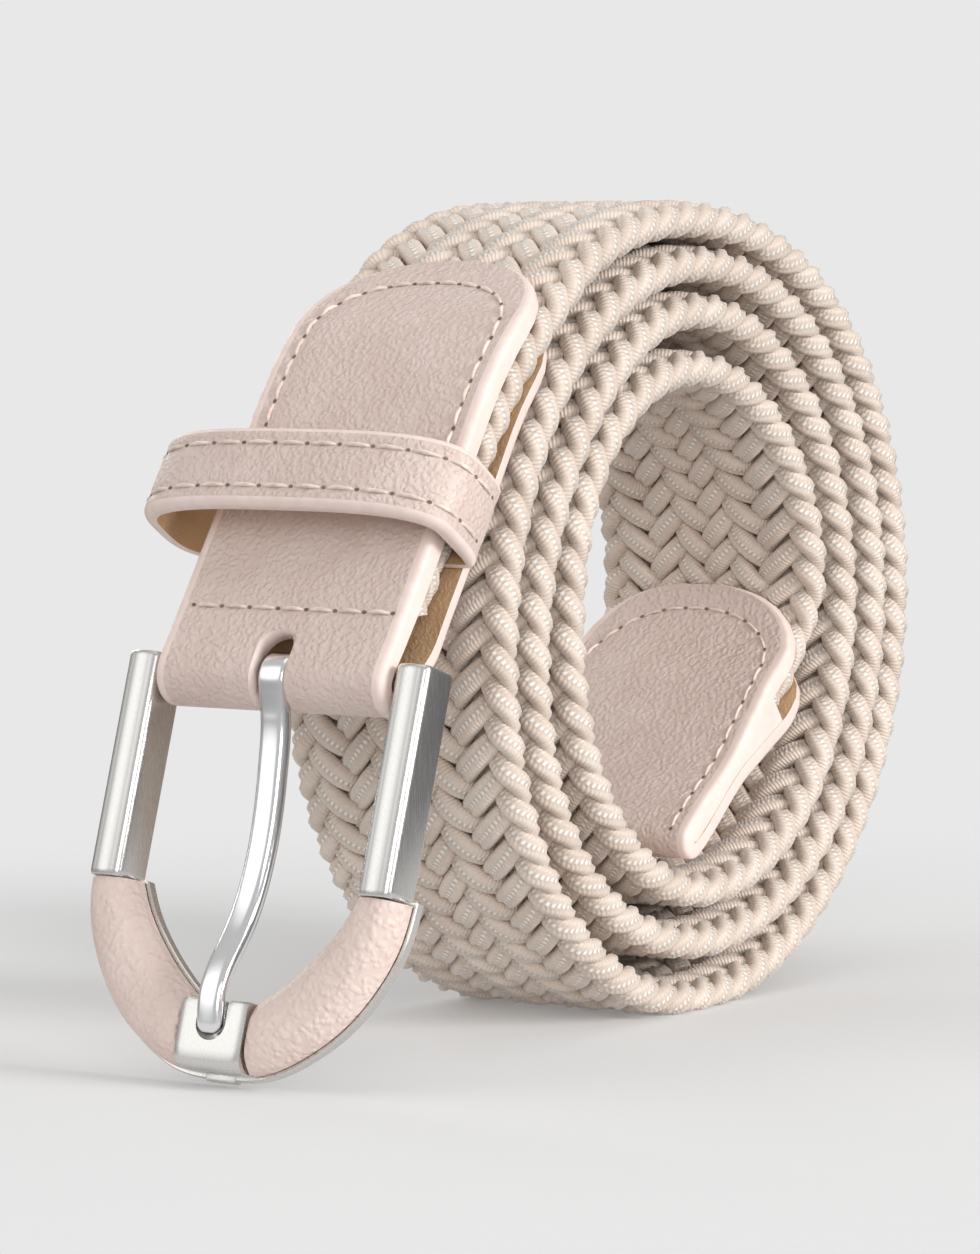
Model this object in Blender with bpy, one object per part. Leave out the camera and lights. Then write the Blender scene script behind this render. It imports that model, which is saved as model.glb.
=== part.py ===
"""Braided elastic belt with a leather covered pin buckle, rolled up and standing on its rim.

X runs across the rolled belt, with the buckle at -X. Y is the axis of the roll, across the
webbing. Z is up and the floor is z = 0. All lengths are metres.
"""
import math

import bpy
import bmesh
import numpy as np
from mathutils import Vector

MM = 0.001
CLEAR = 0.3 * MM
JOIN = 0.4 * MM
CUT_PAST = 3.0 * MM

# Webbing: a flat braid of elastic cords, modelled as one solid band
WEB_WIDTH = 35.0 * MM
WEB_THICK = 4.8 * MM
WEB_PRESSED = 0.75
WEB_STEP = 4.3 * MM
PRESS_RUN = 9.0 * MM

# Roll: outer radius at the top, and the air that is left between two layers
ROLL_RADIUS = 53.2 * MM
LAYER_AIR = 1.2 * MM
FLOOR_PRESS = 0.9 * MM
FIRST_TURN = {"top": 1.000, "top_right": 1.056, "right": 1.082, "low_right": 1.058,
              "bottom": 1.000, "low_left": 0.926, "left": 0.844, "top_left": 0.842}
AIR_BELOW_FIRST = {"top": 1.0, "top_right": 1.2, "right": 1.1, "low_right": 0.8,
                   "bottom": 1.6, "low_left": 1.8, "left": 2.2, "top_left": 2.6}
AIR_BELOW_SECOND = {"top": 1.1, "top_right": 2.2, "right": 2.6, "low_right": 2.0,
                    "bottom": 1.8, "low_left": 3.7, "left": 2.4, "top_left": 0.5}
AIR_BELOW_THIRD = {"top": 2.2, "top_right": 2.5, "right": 3.2}
DIRECTIONS = ("top", "top_right", "right", "low_right", "bottom", "low_left", "left", "top_left")

# Strap between the roll and the buckle
STRAP_LEAN = math.radians(34.2)
STRAP_RUN = 31.7 * MM
STRAP_PROUD = 1.0 * MM
END_TO_PIN = 10.0 * MM
PIN_OFFSET = 0.75 * MM

# Buckle tab: leather folded round the pin, over both faces of the webbing
TAB_WIDTH = 34.4 * MM
TAB_FRONT = 2.65 * MM
TAB_BACK = 1.4 * MM
TAB_FOLD = 2.2 * MM
TAB_FRONT_REACH = 52.5 * MM
TAB_BACK_REACH = 50.0 * MM
TAB_EDGE_THIN = 1.2 * MM
TAB_BACK_AIR = 1.6 * MM
TAB_TONGUE = 13.0 * MM
SLOT_WIDTH = 5.4 * MM
SLOT_RISE = 4.8 * MM

# Keeper: a leather loop that stands proud of the tab; its thin back run is sewn in between the
# webbing and the tab's back leather, and the loop is pushed a little to one side
KEEPER_WIDTH = 11.3 * MM
KEEPER_THICK = 2.0 * MM
KEEPER_AIR = 5.2 * MM
KEEPER_SEWN = 1.0 * MM
KEEPER_SIDE = 5.9 * MM
KEEPER_SHIFT = 2.9 * MM
KEEPER_PLACE = 24.0 * MM

# Tip: leather folded over the free end
TIP_WIDTH = 34.4 * MM
TIP_FRONT = 2.3 * MM
TIP_BACK = 2.1 * MM
TIP_TONGUE = 15.0 * MM
TIP_REACH = 18.8 * MM
TIP_LENGTH = 29.9 * MM
TIP_SLIT = 0.5 * MM
TIP_CLOSE = 12.0 * MM

# Buckle frame, in its own plane: t runs down from the top of the bars, d runs in from the front
FRAME_LENGTH = 52.0 * MM
BAR_WIDTH = 4.8 * MM
BAR_DEPTH = 5.8 * MM
BAR_LENGTH = 28.2 * MM
BAR_GAP = 0.7 * MM
BAR_ROUND = 1.1 * MM
PIN_RADIUS = 1.5 * MM
PIN_DROP = 2.2 * MM
PIN_DEPTH = 2.9 * MM
ARCH_BULGE = 1.0 * MM
PLATE_THICK = 1.3 * MM
PLATE_RIM = 0.5 * MM
PLATE_STEP = 0.15 * MM
PAD_TOP = 0.3 * MM
PAD_EDGE = 3.0 * MM
NUB_WIDTH = 4.6 * MM
NUB_DROP = 0.9 * MM
NUB_HEIGHT = 4.0 * MM
SADDLE_WIDTH = 9.8 * MM
SADDLE_RISE = 1.0 * MM
SADDLE_FRONT = 0.3 * MM
SADDLE_ROUND = 1.0 * MM
NOTCH_WIDTH = 4.4 * MM
NOTCH_FLOOR = 2.2 * MM
NOTCH_REACH = 4.3 * MM

# Outline of half the arch, from the end of a bar to the middle: the t values are shares of the
# length below the bars and the y values shares of half the frame's width
ARCH_ROWS = (
    {"outer_t": 0.000, "outer_y": 1.000, "inner_t": 0.000, "inner_y": 0.713},
    {"outer_t": 0.229, "outer_y": 0.970, "inner_t": 0.147, "inner_y": 0.641},
    {"outer_t": 0.467, "outer_y": 0.873, "inner_t": 0.294, "inner_y": 0.536},
    {"outer_t": 0.690, "outer_y": 0.713, "inner_t": 0.441, "inner_y": 0.401},
    {"outer_t": 0.865, "outer_y": 0.502, "inner_t": 0.562, "inner_y": 0.262},
    {"outer_t": 0.980, "outer_y": 0.266, "inner_t": 0.640, "inner_y": 0.135},
    {"outer_t": 1.000, "outer_y": 0.000, "inner_t": 0.662, "inner_y": 0.000},
)

# Prong: a bent bar with an eye round the pin; t and d are shares of the frame's length and depth
PRONG_WIDTH = 3.9 * MM
PRONG_NECK = 3.2 * MM
PRONG_THICK = 2.3 * MM
PRONG_POINT_THICK = 1.9 * MM
PRONG_EYE_THICK = 1.5 * MM
PRONG_STEP = 1.9 * MM
PRONG_LEAVES = 60.0
PRONG_CURLS = 330.0
PRONG_ROWS = (
    {"t": 0.900, "d": 0.12}, {"t": 0.860, "d": 0.03}, {"t": 0.808, "d": -0.04},
    {"t": 0.750, "d": 0.06}, {"t": 0.654, "d": 0.43}, {"t": 0.538, "d": 0.70},
    {"t": 0.385, "d": 0.76}, {"t": 0.231, "d": 0.60}, {"t": 0.127, "d": 0.38},
)

PINK = (0.690, 0.545, 0.500)
SAND = (0.600, 0.530, 0.450)
SILVER = (0.640, 0.640, 0.640)


def clear_scene():
    for obj in list(bpy.data.objects):
        bpy.data.objects.remove(obj, do_unlink=True)


def material(name, colour, roughness, metallic):
    mat = bpy.data.materials.new(name)
    mat.use_nodes = True
    shader = mat.node_tree.nodes["Principled BSDF"]
    shader.inputs["Base Color"].default_value = (*colour, 1.0)
    shader.inputs["Roughness"].default_value = roughness
    shader.inputs["Metallic"].default_value = metallic
    mat.diffuse_color = (*colour, 1.0)
    return mat


def add_object(name, bm, mat):
    """Turns a bmesh into a named object with outward faces."""
    bmesh.ops.recalc_face_normals(bm, faces=bm.faces[:])
    mesh = bpy.data.meshes.new(name)
    bm.to_mesh(mesh)
    bm.free()
    mesh.shade_smooth()
    mesh.set_sharp_from_angle(angle=math.radians(40.0))
    if mat:
        mesh.materials.append(mat)
    obj = bpy.data.objects.new(name, mesh)
    bpy.context.scene.collection.objects.link(obj)
    return obj


def loft(rings, closed=False):
    """Skins a list of rings of points; the ends are capped unless the loft runs round."""
    bm = bmesh.new()
    rows = [[bm.verts.new(point) for point in ring] for ring in rings]
    size = len(rows[0])
    count = len(rows)
    last = count if closed else count - 1
    for i in range(last):
        lower, upper = rows[i], rows[(i + 1) % count]
        for j in range(size):
            bm.faces.new((lower[j], lower[(j + 1) % size], upper[(j + 1) % size], upper[j]))
    if not closed:
        bm.faces.new(rows[0])
        bm.faces.new(rows[-1])
    return bm


def helper(name, bm):
    """A solid that only a Boolean uses."""
    obj = add_object(name, bm, None)
    obj.hide_render = True
    obj.display_type = "WIRE"
    return obj


def combine(obj, tool, operation):
    modifier = obj.modifiers.new(tool.name, "BOOLEAN")
    modifier.object = tool
    modifier.operation = operation
    modifier.solver = "EXACT"


def rounded_section(half_width, half_thick, corner, steps):
    """Points (across, through) of a rectangle with round corners."""
    corner = min(corner, half_width, half_thick)
    points = []
    for quarter in range(4):
        side = 1.0 if quarter in (0, 3) else -1.0
        face = 1.0 if quarter in (0, 1) else -1.0
        for k in range(steps + 1):
            angle = math.radians(90.0 * (quarter + k / steps))
            across = side * (half_width - corner) + corner * math.cos(angle)
            through = face * (half_thick - corner) + corner * math.sin(angle)
            point = (across, through)
            if not points or math.dist(point, points[-1]) > 1e-6:
                points.append(point)
    if math.dist(points[0], points[-1]) < 1e-6:
        points.pop()
    return points


def spline(points, step=None, count=None):
    """Even samples of the natural cubic curve through points, with its length."""
    pts = np.array(points, dtype=float)
    knots = np.concatenate([[0.0], np.cumsum(np.linalg.norm(np.diff(pts, axis=0), axis=1))])
    n = len(pts)
    h = np.diff(knots)
    matrix = np.eye(n)
    right = np.zeros_like(pts)
    for i in range(1, n - 1):
        matrix[i, i - 1:i + 2] = (h[i - 1], 2.0 * (h[i - 1] + h[i]), h[i])
        right[i] = 6.0 * ((pts[i + 1] - pts[i]) / h[i] - (pts[i] - pts[i - 1]) / h[i - 1])
    bend = np.linalg.solve(matrix, right)
    fine = np.linspace(0.0, knots[-1], 40 * n)
    cell = np.clip(np.searchsorted(knots, fine, side="right") - 1, 0, n - 2)
    width = h[cell][:, None]
    a = (knots[cell + 1] - fine)[:, None] / width
    b = (fine - knots[cell])[:, None] / width
    curve = a * pts[cell] + b * pts[cell + 1]
    curve += ((a ** 3 - a) * bend[cell] + (b ** 3 - b) * bend[cell + 1]) * width ** 2 / 6.0
    length = np.concatenate([[0.0], np.cumsum(np.linalg.norm(np.diff(curve, axis=0), axis=1))])
    if count is None:
        count = max(2, int(round(length[-1] / step)) + 1)
    even = np.linspace(0.0, length[-1], count)
    samples = np.stack([np.interp(even, length, curve[:, k]) for k in range(pts.shape[1])], axis=1)
    return samples, even


def roll_radii():
    """Middle radius of the webbing at each eighth of a turn, from the top of the first turn."""
    outer = [ROLL_RADIUS * FIRST_TURN[name] - WEB_THICK / 2.0 for name in DIRECTIONS]
    radii = list(outer)
    radii[DIRECTIONS.index("bottom")] += FLOOR_PRESS
    layer = outer
    for air in (AIR_BELOW_FIRST, AIR_BELOW_SECOND, AIR_BELOW_THIRD):
        layer = [radius - WEB_THICK - LAYER_AIR * air[name]
                 for radius, name in zip(layer, DIRECTIONS) if name in air]
        radii.extend(layer)
    return radii


def strap_axes():
    """Unit vectors in XZ: up along the strap, and out through its front."""
    along = np.array([math.sin(STRAP_LEAN), math.cos(STRAP_LEAN)])
    front = np.array([-math.cos(STRAP_LEAN), math.sin(STRAP_LEAN)])
    return along, front


def web_route():
    """Middle line of the webbing in XZ, from its end in the tab to its end in the tip."""
    along, front = strap_axes()
    centre = np.array([0.0, ROLL_RADIUS])
    radii = roll_radii()
    leave = centre + front * (radii[0] + STRAP_PROUD)
    end = leave - along * STRAP_RUN
    points = [end + along * STRAP_RUN * share for share in (0.0, 0.33, 0.66, 1.0)]
    turn_start = math.pi - STRAP_LEAN
    for share in (0.28, 0.52, 0.76):
        angle = turn_start + (math.pi / 2.0 - turn_start) * share
        points.append(centre + radii[0] * np.array([math.cos(angle), math.sin(angle)]))
    for k, radius in enumerate(radii):
        angle = math.pi / 2.0 - k * math.pi / 4.0
        points.append(centre + radius * np.array([math.cos(angle), math.sin(angle)]))
    last = radii[-1]
    points.append(centre + last * np.array([0.96, -0.13]))
    points.append(centre + last * np.array([0.87, -0.28]))
    points.append(centre + last * np.array([0.68, -0.445]))
    return points


class Web:
    """The webbing's middle line, with the direction and the outward normal at each length."""

    def __init__(self):
        self.points, self.length = spline(web_route(), step=WEB_STEP)
        direction = np.gradient(self.points, self.length, axis=0)
        direction /= np.linalg.norm(direction, axis=1)[:, None]
        self.direction = direction
        self.normal = np.stack([-direction[:, 1], direction[:, 0]], axis=1)
        self.total = self.length[-1]
        self.thick = [self.pressed(s) for s in self.length]

    def at(self, s):
        """Point, direction and outward normal; past either end the line runs on straight."""
        inside = min(max(s, 0.0), self.total)
        rows = [np.array([np.interp(inside, self.length, table[:, k]) for k in range(2)])
                for table in (self.points, self.direction, self.normal)]
        return rows[0] + rows[1] * (s - inside), rows[1], rows[2]

    def thickness(self, s):
        return np.interp(s, self.length, self.thick)

    def pressed(self, s):
        """The webbing is pressed thinner where the leather holds it."""
        from_ends = (s - TAB_FRONT_REACH, self.total - TIP_REACH - s)
        share = min(max(min(from_ends) / PRESS_RUN + 0.5, 0.0), 1.0)
        ease = share * share * (3.0 - 2.0 * share)
        return WEB_THICK * (WEB_PRESSED + (1.0 - WEB_PRESSED) * ease)


def band_ring(point, normal, half_width, thick, corner, steps=3):
    """A ring of a band that lies across Y, round a point of its middle line in XZ."""
    return [Vector((point[0] + normal[0] * b, y, point[1] + normal[1] * b))
            for y, b in rounded_section(half_width, thick / 2.0, corner, steps)]


def build_webbing(web, mat):
    rings = []
    for s in web.length:
        point, _, normal = web.at(s)
        thick = web.thickness(s)
        ring = band_ring(point, normal, WEB_WIDTH / 2.0, thick, thick / 2.0)
        for corner in ring:
            corner.z = max(corner.z, 0.0)
        rings.append(ring)
    return add_object("webbing", loft(rings), mat)


def tongue_share(from_end, reach):
    """Half width of a round ended tongue, as a share, at a distance from its end."""
    away = 1.0 - min(from_end / reach, 1.0)
    return (1.0 - away ** 2.3) ** (1.0 / 2.3)


def tongue_lengths(reach, foot, spacing):
    """Distances back from a tongue's end, close together on its round part."""
    near = [reach * share for share in (0.012, 0.05, 0.12, 0.23, 0.38, 0.56, 0.78, 1.0)]
    rest = np.linspace(reach, foot, max(2, int((foot - reach) / spacing) + 1))[1:]
    return near + list(rest)


def pin_axis(web):
    """Centre of the buckle's pin in XZ."""
    along, front = strap_axes()
    return web.at(0.0)[0] - along * END_TO_PIN + front * PIN_OFFSET


def build_tab(web, mat):
    pin = pin_axis(web)
    along, front = strap_axes()
    pressed = WEB_THICK * WEB_PRESSED
    half = TAB_WIDTH / 2.0
    inner = PIN_RADIUS + CLEAR
    stations = []
    foot_front = pressed / 2.0 + CLEAR
    for back in tongue_lengths(TAB_TONGUE, TAB_FRONT_REACH, WEB_STEP):
        s = TAB_FRONT_REACH - back
        point, _, normal = web.at(s)
        thick = TAB_EDGE_THIN + (TAB_FRONT - TAB_EDGE_THIN) * min(back / TAB_TONGUE, 1.0)
        foot = web.thickness(s) / 2.0 + CLEAR
        width = half * tongue_share(back, TAB_TONGUE)
        stations.append((point + normal * (foot + thick / 2.0), normal, width, thick))
    fold_radius = inner + TAB_FOLD / 2.0
    mid_front = foot_front + TAB_FRONT / 2.0 - PIN_OFFSET
    blend = (0.7, 0.35)
    for share in blend:
        offset = fold_radius + (mid_front - fold_radius) * share
        thick = TAB_FOLD + (TAB_FRONT - TAB_FOLD) * share
        point = pin + along * END_TO_PIN * share + front * offset
        stations.append((point, front, half, thick))
    for k in range(9):
        angle = math.pi * k / 8.0
        normal = front * math.cos(angle) - along * math.sin(angle)
        stations.append((pin + normal * fold_radius, normal, half, TAB_FOLD))
    foot_back = pressed / 2.0 + TAB_BACK_AIR
    mid_back = foot_back + TAB_BACK / 2.0 + PIN_OFFSET
    for share in reversed(blend):
        offset = fold_radius + (mid_back - fold_radius) * min(share * 1.4, 1.0)
        thick = TAB_FOLD + (TAB_BACK - TAB_FOLD) * share
        point = pin + along * END_TO_PIN * share - front * offset
        stations.append((point, -front, half, thick))
    for back in reversed(tongue_lengths(TAB_TONGUE, TAB_BACK_REACH, WEB_STEP)):
        s = TAB_BACK_REACH - back
        point, _, normal = web.at(s)
        thick = TAB_EDGE_THIN + (TAB_BACK - TAB_EDGE_THIN) * min(back / TAB_TONGUE, 1.0)
        foot = web.thickness(s) / 2.0 + TAB_BACK_AIR
        width = half * tongue_share(back, TAB_TONGUE)
        stations.append((point - normal * (foot + thick / 2.0), -normal, width, thick))
    rings = [band_ring(point, normal, width, thick, thick * 0.4, 2)
             for point, normal, width, thick in stations]
    tab = add_object("buckle_tab", loft(rings), mat)
    # the slot that lets the prong through the fold
    reach = inner + TAB_FOLD + CUT_PAST
    top = pin + along * SLOT_RISE
    low = pin - along * reach
    outline = [low + front * reach, top + front * reach, top - front * reach, low - front * reach]
    rings = [[Vector((p[0], y, p[1])) for p in outline]
             for y in (-SLOT_WIDTH / 2.0, SLOT_WIDTH / 2.0)]
    combine(tab, helper("slot_cutter", loft(rings)), "DIFFERENCE")
    return tab


def keeper_line(front, back, count):
    """Middle line (y, b) of the keeper: flat behind the webbing and arched in front, with thickness."""
    flat = WEB_WIDTH / 2.0 + CLEAR
    half_width = WEB_WIDTH / 2.0 + KEEPER_SIDE - KEEPER_THICK / 2.0
    waist = (front + back) / 2.0
    rise = (front - back) / 2.0
    line = []
    for k in range(count):
        angle = math.tau * k / count
        share = abs(math.cos(angle)) ** (2.0 / 3.0)
        lift = abs(math.sin(angle)) ** (2.0 / 3.0)
        side = 1.0 if math.cos(angle) > 0.0 else -1.0
        edge = side * half_width + KEEPER_SHIFT
        if math.sin(angle) >= 0.0:
            y = KEEPER_SHIFT + (edge - KEEPER_SHIFT) * share
            line.append((y, waist + rise * lift, KEEPER_THICK))
        else:
            foot = side * flat
            thick = KEEPER_THICK + (KEEPER_SEWN - KEEPER_THICK) * lift ** 2
            line.append((foot + (edge - foot) * share, waist - rise * lift, thick))
    return line


def build_keeper(web, mat):
    pin = pin_axis(web)
    along, front = strap_axes()
    pressed = WEB_THICK * WEB_PRESSED
    front_face = pressed / 2.0 + CLEAR + TAB_FRONT - PIN_OFFSET
    back_face = pressed / 2.0 + PIN_OFFSET
    out = front_face + KEEPER_AIR + KEEPER_THICK / 2.0
    back = -(back_face + TAB_BACK_AIR / 2.0)
    middle = pin + along * KEEPER_PLACE
    line = keeper_line(out, back, 44)
    rings = []
    for k, (y, b, thick) in enumerate(line):
        before, after = line[k - 1], line[(k + 1) % len(line)]
        run = np.array([after[0] - before[0], after[1] - before[1]])
        out_dir = np.array([run[1], -run[0]]) / np.linalg.norm(run)
        ring = []
        for up, through in rounded_section(KEEPER_WIDTH / 2.0, thick / 2.0, thick * 0.35, 2):
            point = middle + along * up + front * (b + out_dir[1] * through)
            ring.append(Vector((point[0], y + out_dir[0] * through, point[1])))
        rings.append(ring)
    return add_object("keeper", loft(rings, closed=True), mat)


def build_tip(web, mat):
    pressed = WEB_THICK * WEB_PRESSED
    half = TIP_WIDTH / 2.0
    end, direction, out = web.at(web.total)
    foot = pressed / 2.0 + CLEAR
    stations = []
    for back in tongue_lengths(TIP_TONGUE, TIP_REACH, WEB_STEP):
        s = web.total - TIP_REACH + back
        point, _, normal = web.at(s)
        thick = TAB_EDGE_THIN + (TIP_FRONT - TAB_EDGE_THIN) * min(back / TIP_TONGUE, 1.0)
        offset = web.thickness(s) / 2.0 + CLEAR + thick / 2.0
        width = half * tongue_share(back, TIP_TONGUE)
        stations.append((point - normal * offset, -normal, width, thick))
    close = TIP_SLIT / 2.0
    for share in (0.35, 0.7, 1.0):
        gap = foot + (close - foot) * share
        point = end + direction * TIP_CLOSE * share - out * (gap + TIP_FRONT / 2.0)
        stations.append((point, -out, half, TIP_FRONT))
    fold_radius = close + (TIP_FRONT + TIP_BACK) / 4.0
    centre = end + direction * (TIP_LENGTH - fold_radius - TIP_FRONT / 2.0)
    for k in range(9):
        angle = math.pi * k / 8.0
        normal = direction * math.sin(angle) - out * math.cos(angle)
        thick = TIP_FRONT + (TIP_BACK - TIP_FRONT) * k / 8.0
        stations.append((centre + normal * fold_radius, normal, half, thick))
    for share in (1.0, 0.7, 0.35):
        gap = foot + (close - foot) * share
        point = end + direction * TIP_CLOSE * share + out * (gap + TIP_BACK / 2.0)
        stations.append((point, out, half, TIP_BACK))
    for back in reversed(tongue_lengths(TIP_TONGUE, TIP_REACH, WEB_STEP)):
        s = web.total - TIP_REACH + back
        point, _, normal = web.at(s)
        thick = TAB_EDGE_THIN + (TIP_BACK - TAB_EDGE_THIN) * min(back / TIP_TONGUE, 1.0)
        offset = web.thickness(s) / 2.0 + CLEAR + thick / 2.0
        width = half * tongue_share(back, TIP_TONGUE)
        stations.append((point + normal * offset, normal, width, thick))
    rings = [band_ring(point, normal, width, thick, thick * 0.4, 2)
             for point, normal, width, thick in stations]
    tip = add_object("tip", loft(rings), mat)
    # below the webbing's end both legs are glued together
    core = []
    for share in (0.45, 1.0, (TIP_LENGTH - fold_radius - TIP_FRONT / 2.0) / TIP_CLOSE):
        gap = foot + (close - foot) * min(share, 1.0)
        point = end + direction * TIP_CLOSE * share
        core.append(band_ring(point, out, half - CLEAR, 2.0 * (gap + JOIN), JOIN, 1))
    combine(tip, helper("core_tool", loft(core)), "UNION")
    return tip


class Frame:
    """Places the buckle's own coordinates. The end of the arch stands on the floor, so the frame
    leans; a frame too short for the floor hangs plumb from its pin."""

    def __init__(self, pin):
        drop = FRAME_LENGTH - PIN_DROP
        depth = BAR_DEPTH - PIN_DEPTH
        reach = math.hypot(drop, depth)
        self.lean = math.atan2(depth, drop) + math.acos(min(pin[1] / reach, 1.0))
        self.pin = pin
        self.half = TAB_WIDTH / 2.0 + BAR_GAP + BAR_WIDTH + ARCH_BULGE

    def place(self, t, y, d):
        down = t - PIN_DROP
        back = d - PIN_DEPTH
        x = self.pin[0] - down * math.sin(self.lean) + back * math.cos(self.lean)
        z = self.pin[1] - down * math.cos(self.lean) - back * math.sin(self.lean)
        return Vector((x, y, z))


def arch_side(frame, side, stop, count, grow=0.0):
    """Points (t, y) along one outline of half the arch, from the bar's end to the stop in y."""
    arch_end = FRAME_LENGTH - NUB_DROP
    rows = [(BAR_LENGTH + (arch_end - BAR_LENGTH) * row[side + "_t"], frame.half * row[side + "_y"])
            for row in ARCH_ROWS]
    low = rows[-1]
    rows.append((rows[-2][0], -rows[-2][1]))
    curve, _ = spline(rows, count=200)
    kept = [p for p in curve if p[1] > stop]
    t_stop = np.interp(stop, curve[::-1, 1], curve[::-1, 0]) if stop > 0.0 else low[0]
    kept = np.array(kept + [np.array([t_stop, stop])])
    run = np.concatenate([[0.0], np.cumsum(np.linalg.norm(np.diff(kept, axis=0), axis=1))])
    even = np.linspace(0.0, run[-1], count)
    line = np.stack([np.interp(even, run, kept[:, k]) for k in range(2)], axis=1)
    if grow:
        slope = np.gradient(line, axis=0)
        slope /= np.linalg.norm(slope, axis=1)[:, None]
        slope[-1] = (0.0, -1.0) if stop <= 0.0 else slope[-1]
        line = line + grow * np.stack([-slope[:, 1], slope[:, 0]], axis=1)
        line[0, 0] = kept[0, 0]
        line[-1, 1] = stop
    return line


def pad_section(inner, outer):
    """Domed section of a leather pad, as points (t, y, d)."""
    back = BAR_DEPTH - PLATE_THICK - CLEAR
    points = [(*inner, back), (*outer, back)]
    for share in (1.0, 0.96, 0.85, 0.68, 0.5, 0.32, 0.15, 0.04, 0.0):
        bulge = abs(2.0 * share - 1.0) ** 3.5
        middle = inner + (outer - inner) * share
        points.append((*middle, PAD_TOP + (PAD_EDGE - PAD_TOP) * bulge))
    return points


def build_pad(frame, name, sign, mat):
    stop = SADDLE_WIDTH / 2.0 + CLEAR
    outer = arch_side(frame, "outer", stop, 18)
    inner = arch_side(frame, "inner", stop, 18)
    outer[0, 0] += JOIN + CLEAR
    inner[0, 0] += JOIN + CLEAR
    rings = [[frame.place(t, sign * y, d) for t, y, d in pad_section(a, b)]
             for a, b in zip(inner, outer)]
    return add_object(name, loft(rings), mat)


def box_between(frame, t_range, y_range, d_range, corner=0.0):
    """A block along t, with round long edges where a corner radius is given."""
    half_y = (y_range[1] - y_range[0]) / 2.0
    half_d = (d_range[1] - d_range[0]) / 2.0
    y_mid = sum(y_range) / 2.0
    d_mid = sum(d_range) / 2.0
    if corner:
        section = rounded_section(half_y, half_d, corner, 3)
    else:
        section = [(half_y, half_d), (-half_y, half_d), (-half_y, -half_d), (half_y, -half_d)]
    return loft([[frame.place(t, y_mid + y, d_mid + d) for y, d in section] for t in t_range])


def build_frame(frame, mat):
    plate_front = BAR_DEPTH - PLATE_THICK
    outer = arch_side(frame, "outer", 0.0, 22, PLATE_RIM)
    inner = arch_side(frame, "inner", 0.0, 22, -PLATE_RIM)
    sections = [(a, b, 1.0) for a, b in zip(inner, outer)]
    sections += [(a, b, -1.0) for a, b in reversed(list(zip(inner, outer))[:-1])]
    rings = []
    for a, b, sign in sections:
        plate_back = BAR_DEPTH - PLATE_STEP
        corners = ((a, plate_front), (b, plate_front), (b, plate_back), (a, plate_back))
        rings.append([frame.place(p[0], sign * p[1], d) for p, d in corners])
    body = add_object("buckle_frame", loft(rings), mat)
    inside = TAB_WIDTH / 2.0 + BAR_GAP
    for name, sign in (("bar_left_tool", 1.0), ("bar_right_tool", -1.0)):
        span = sorted((sign * inside, sign * (inside + BAR_WIDTH)))
        bar = box_between(frame, (0.0, BAR_LENGTH + JOIN), span, (0.0, BAR_DEPTH), BAR_ROUND)
        combine(body, helper(name, bar), "UNION")
    reach = inside + BAR_WIDTH / 2.0
    pin_rings = []
    for y in (-reach, reach):
        pin_rings.append([
            frame.place(PIN_DROP + PIN_RADIUS * math.cos(a), y, PIN_DEPTH + PIN_RADIUS * math.sin(a))
            for a in (math.tau * k / 16 for k in range(16))])
    combine(body, helper("pin_tool", loft(pin_rings)), "UNION")
    combine(body, helper("saddle_tool", saddle_block(frame, plate_front)), "UNION")
    nub_t = (FRAME_LENGTH - NUB_HEIGHT, FRAME_LENGTH)
    nub_y = (-NUB_WIDTH / 2.0, NUB_WIDTH / 2.0)
    nub = box_between(frame, nub_t, nub_y, (plate_front - JOIN, BAR_DEPTH))
    combine(body, helper("nub_tool", nub), "UNION")
    combine(body, helper("notch_tool", notch_block(frame)), "DIFFERENCE")
    return body


def saddle_block(frame, plate_front):
    """The metal block that bridges the two pads and carries the prong's point."""
    outer = arch_side(frame, "outer", 0.0, 60)
    inner = arch_side(frame, "inner", 0.0, 60)
    half = SADDLE_WIDTH / 2.0
    rings = []
    for share in (-1.0, -0.75, -0.5, -0.25, 0.0, 0.25, 0.5, 0.75, 1.0):
        y = half * share
        low = np.interp(abs(y), outer[::-1, 1], outer[::-1, 0])
        high = inner[-1, 0] - SADDLE_RISE
        back = plate_front + 0.5 * PLATE_THICK
        front = SADDLE_FRONT
        turn = SADDLE_ROUND
        outline = [(high, back), (low, back), (low, front + 1.6 * turn),
                   (low - 0.4 * turn, front + 0.7 * turn), (low - 1.3 * turn, front),
                   (high + 0.5 * turn, front), (high, front + 0.4 * turn)]
        rings.append([frame.place(t, y, d) for t, d in outline])
    return loft(rings)


def notch_block(frame):
    """Cutter of the groove that the prong's point rests in, round at its lower end."""
    half = NOTCH_WIDTH / 2.0
    arch_end = FRAME_LENGTH - NUB_DROP
    edge = BAR_LENGTH + (arch_end - BAR_LENGTH) * ARCH_ROWS[-1]["inner_t"]
    outline = [(edge - CUT_PAST, -half), (edge + NOTCH_REACH - half, -half)]
    for k in range(1, 8):
        angle = math.pi * k / 8.0
        outline.append((edge + NOTCH_REACH - half + half * math.sin(angle), -half * math.cos(angle)))
    outline += [(edge + NOTCH_REACH - half, half), (edge - CUT_PAST, half)]
    return loft([[frame.place(t, y, d) for t, y in outline] for d in (-CUT_PAST, NOTCH_FLOOR)])


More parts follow.
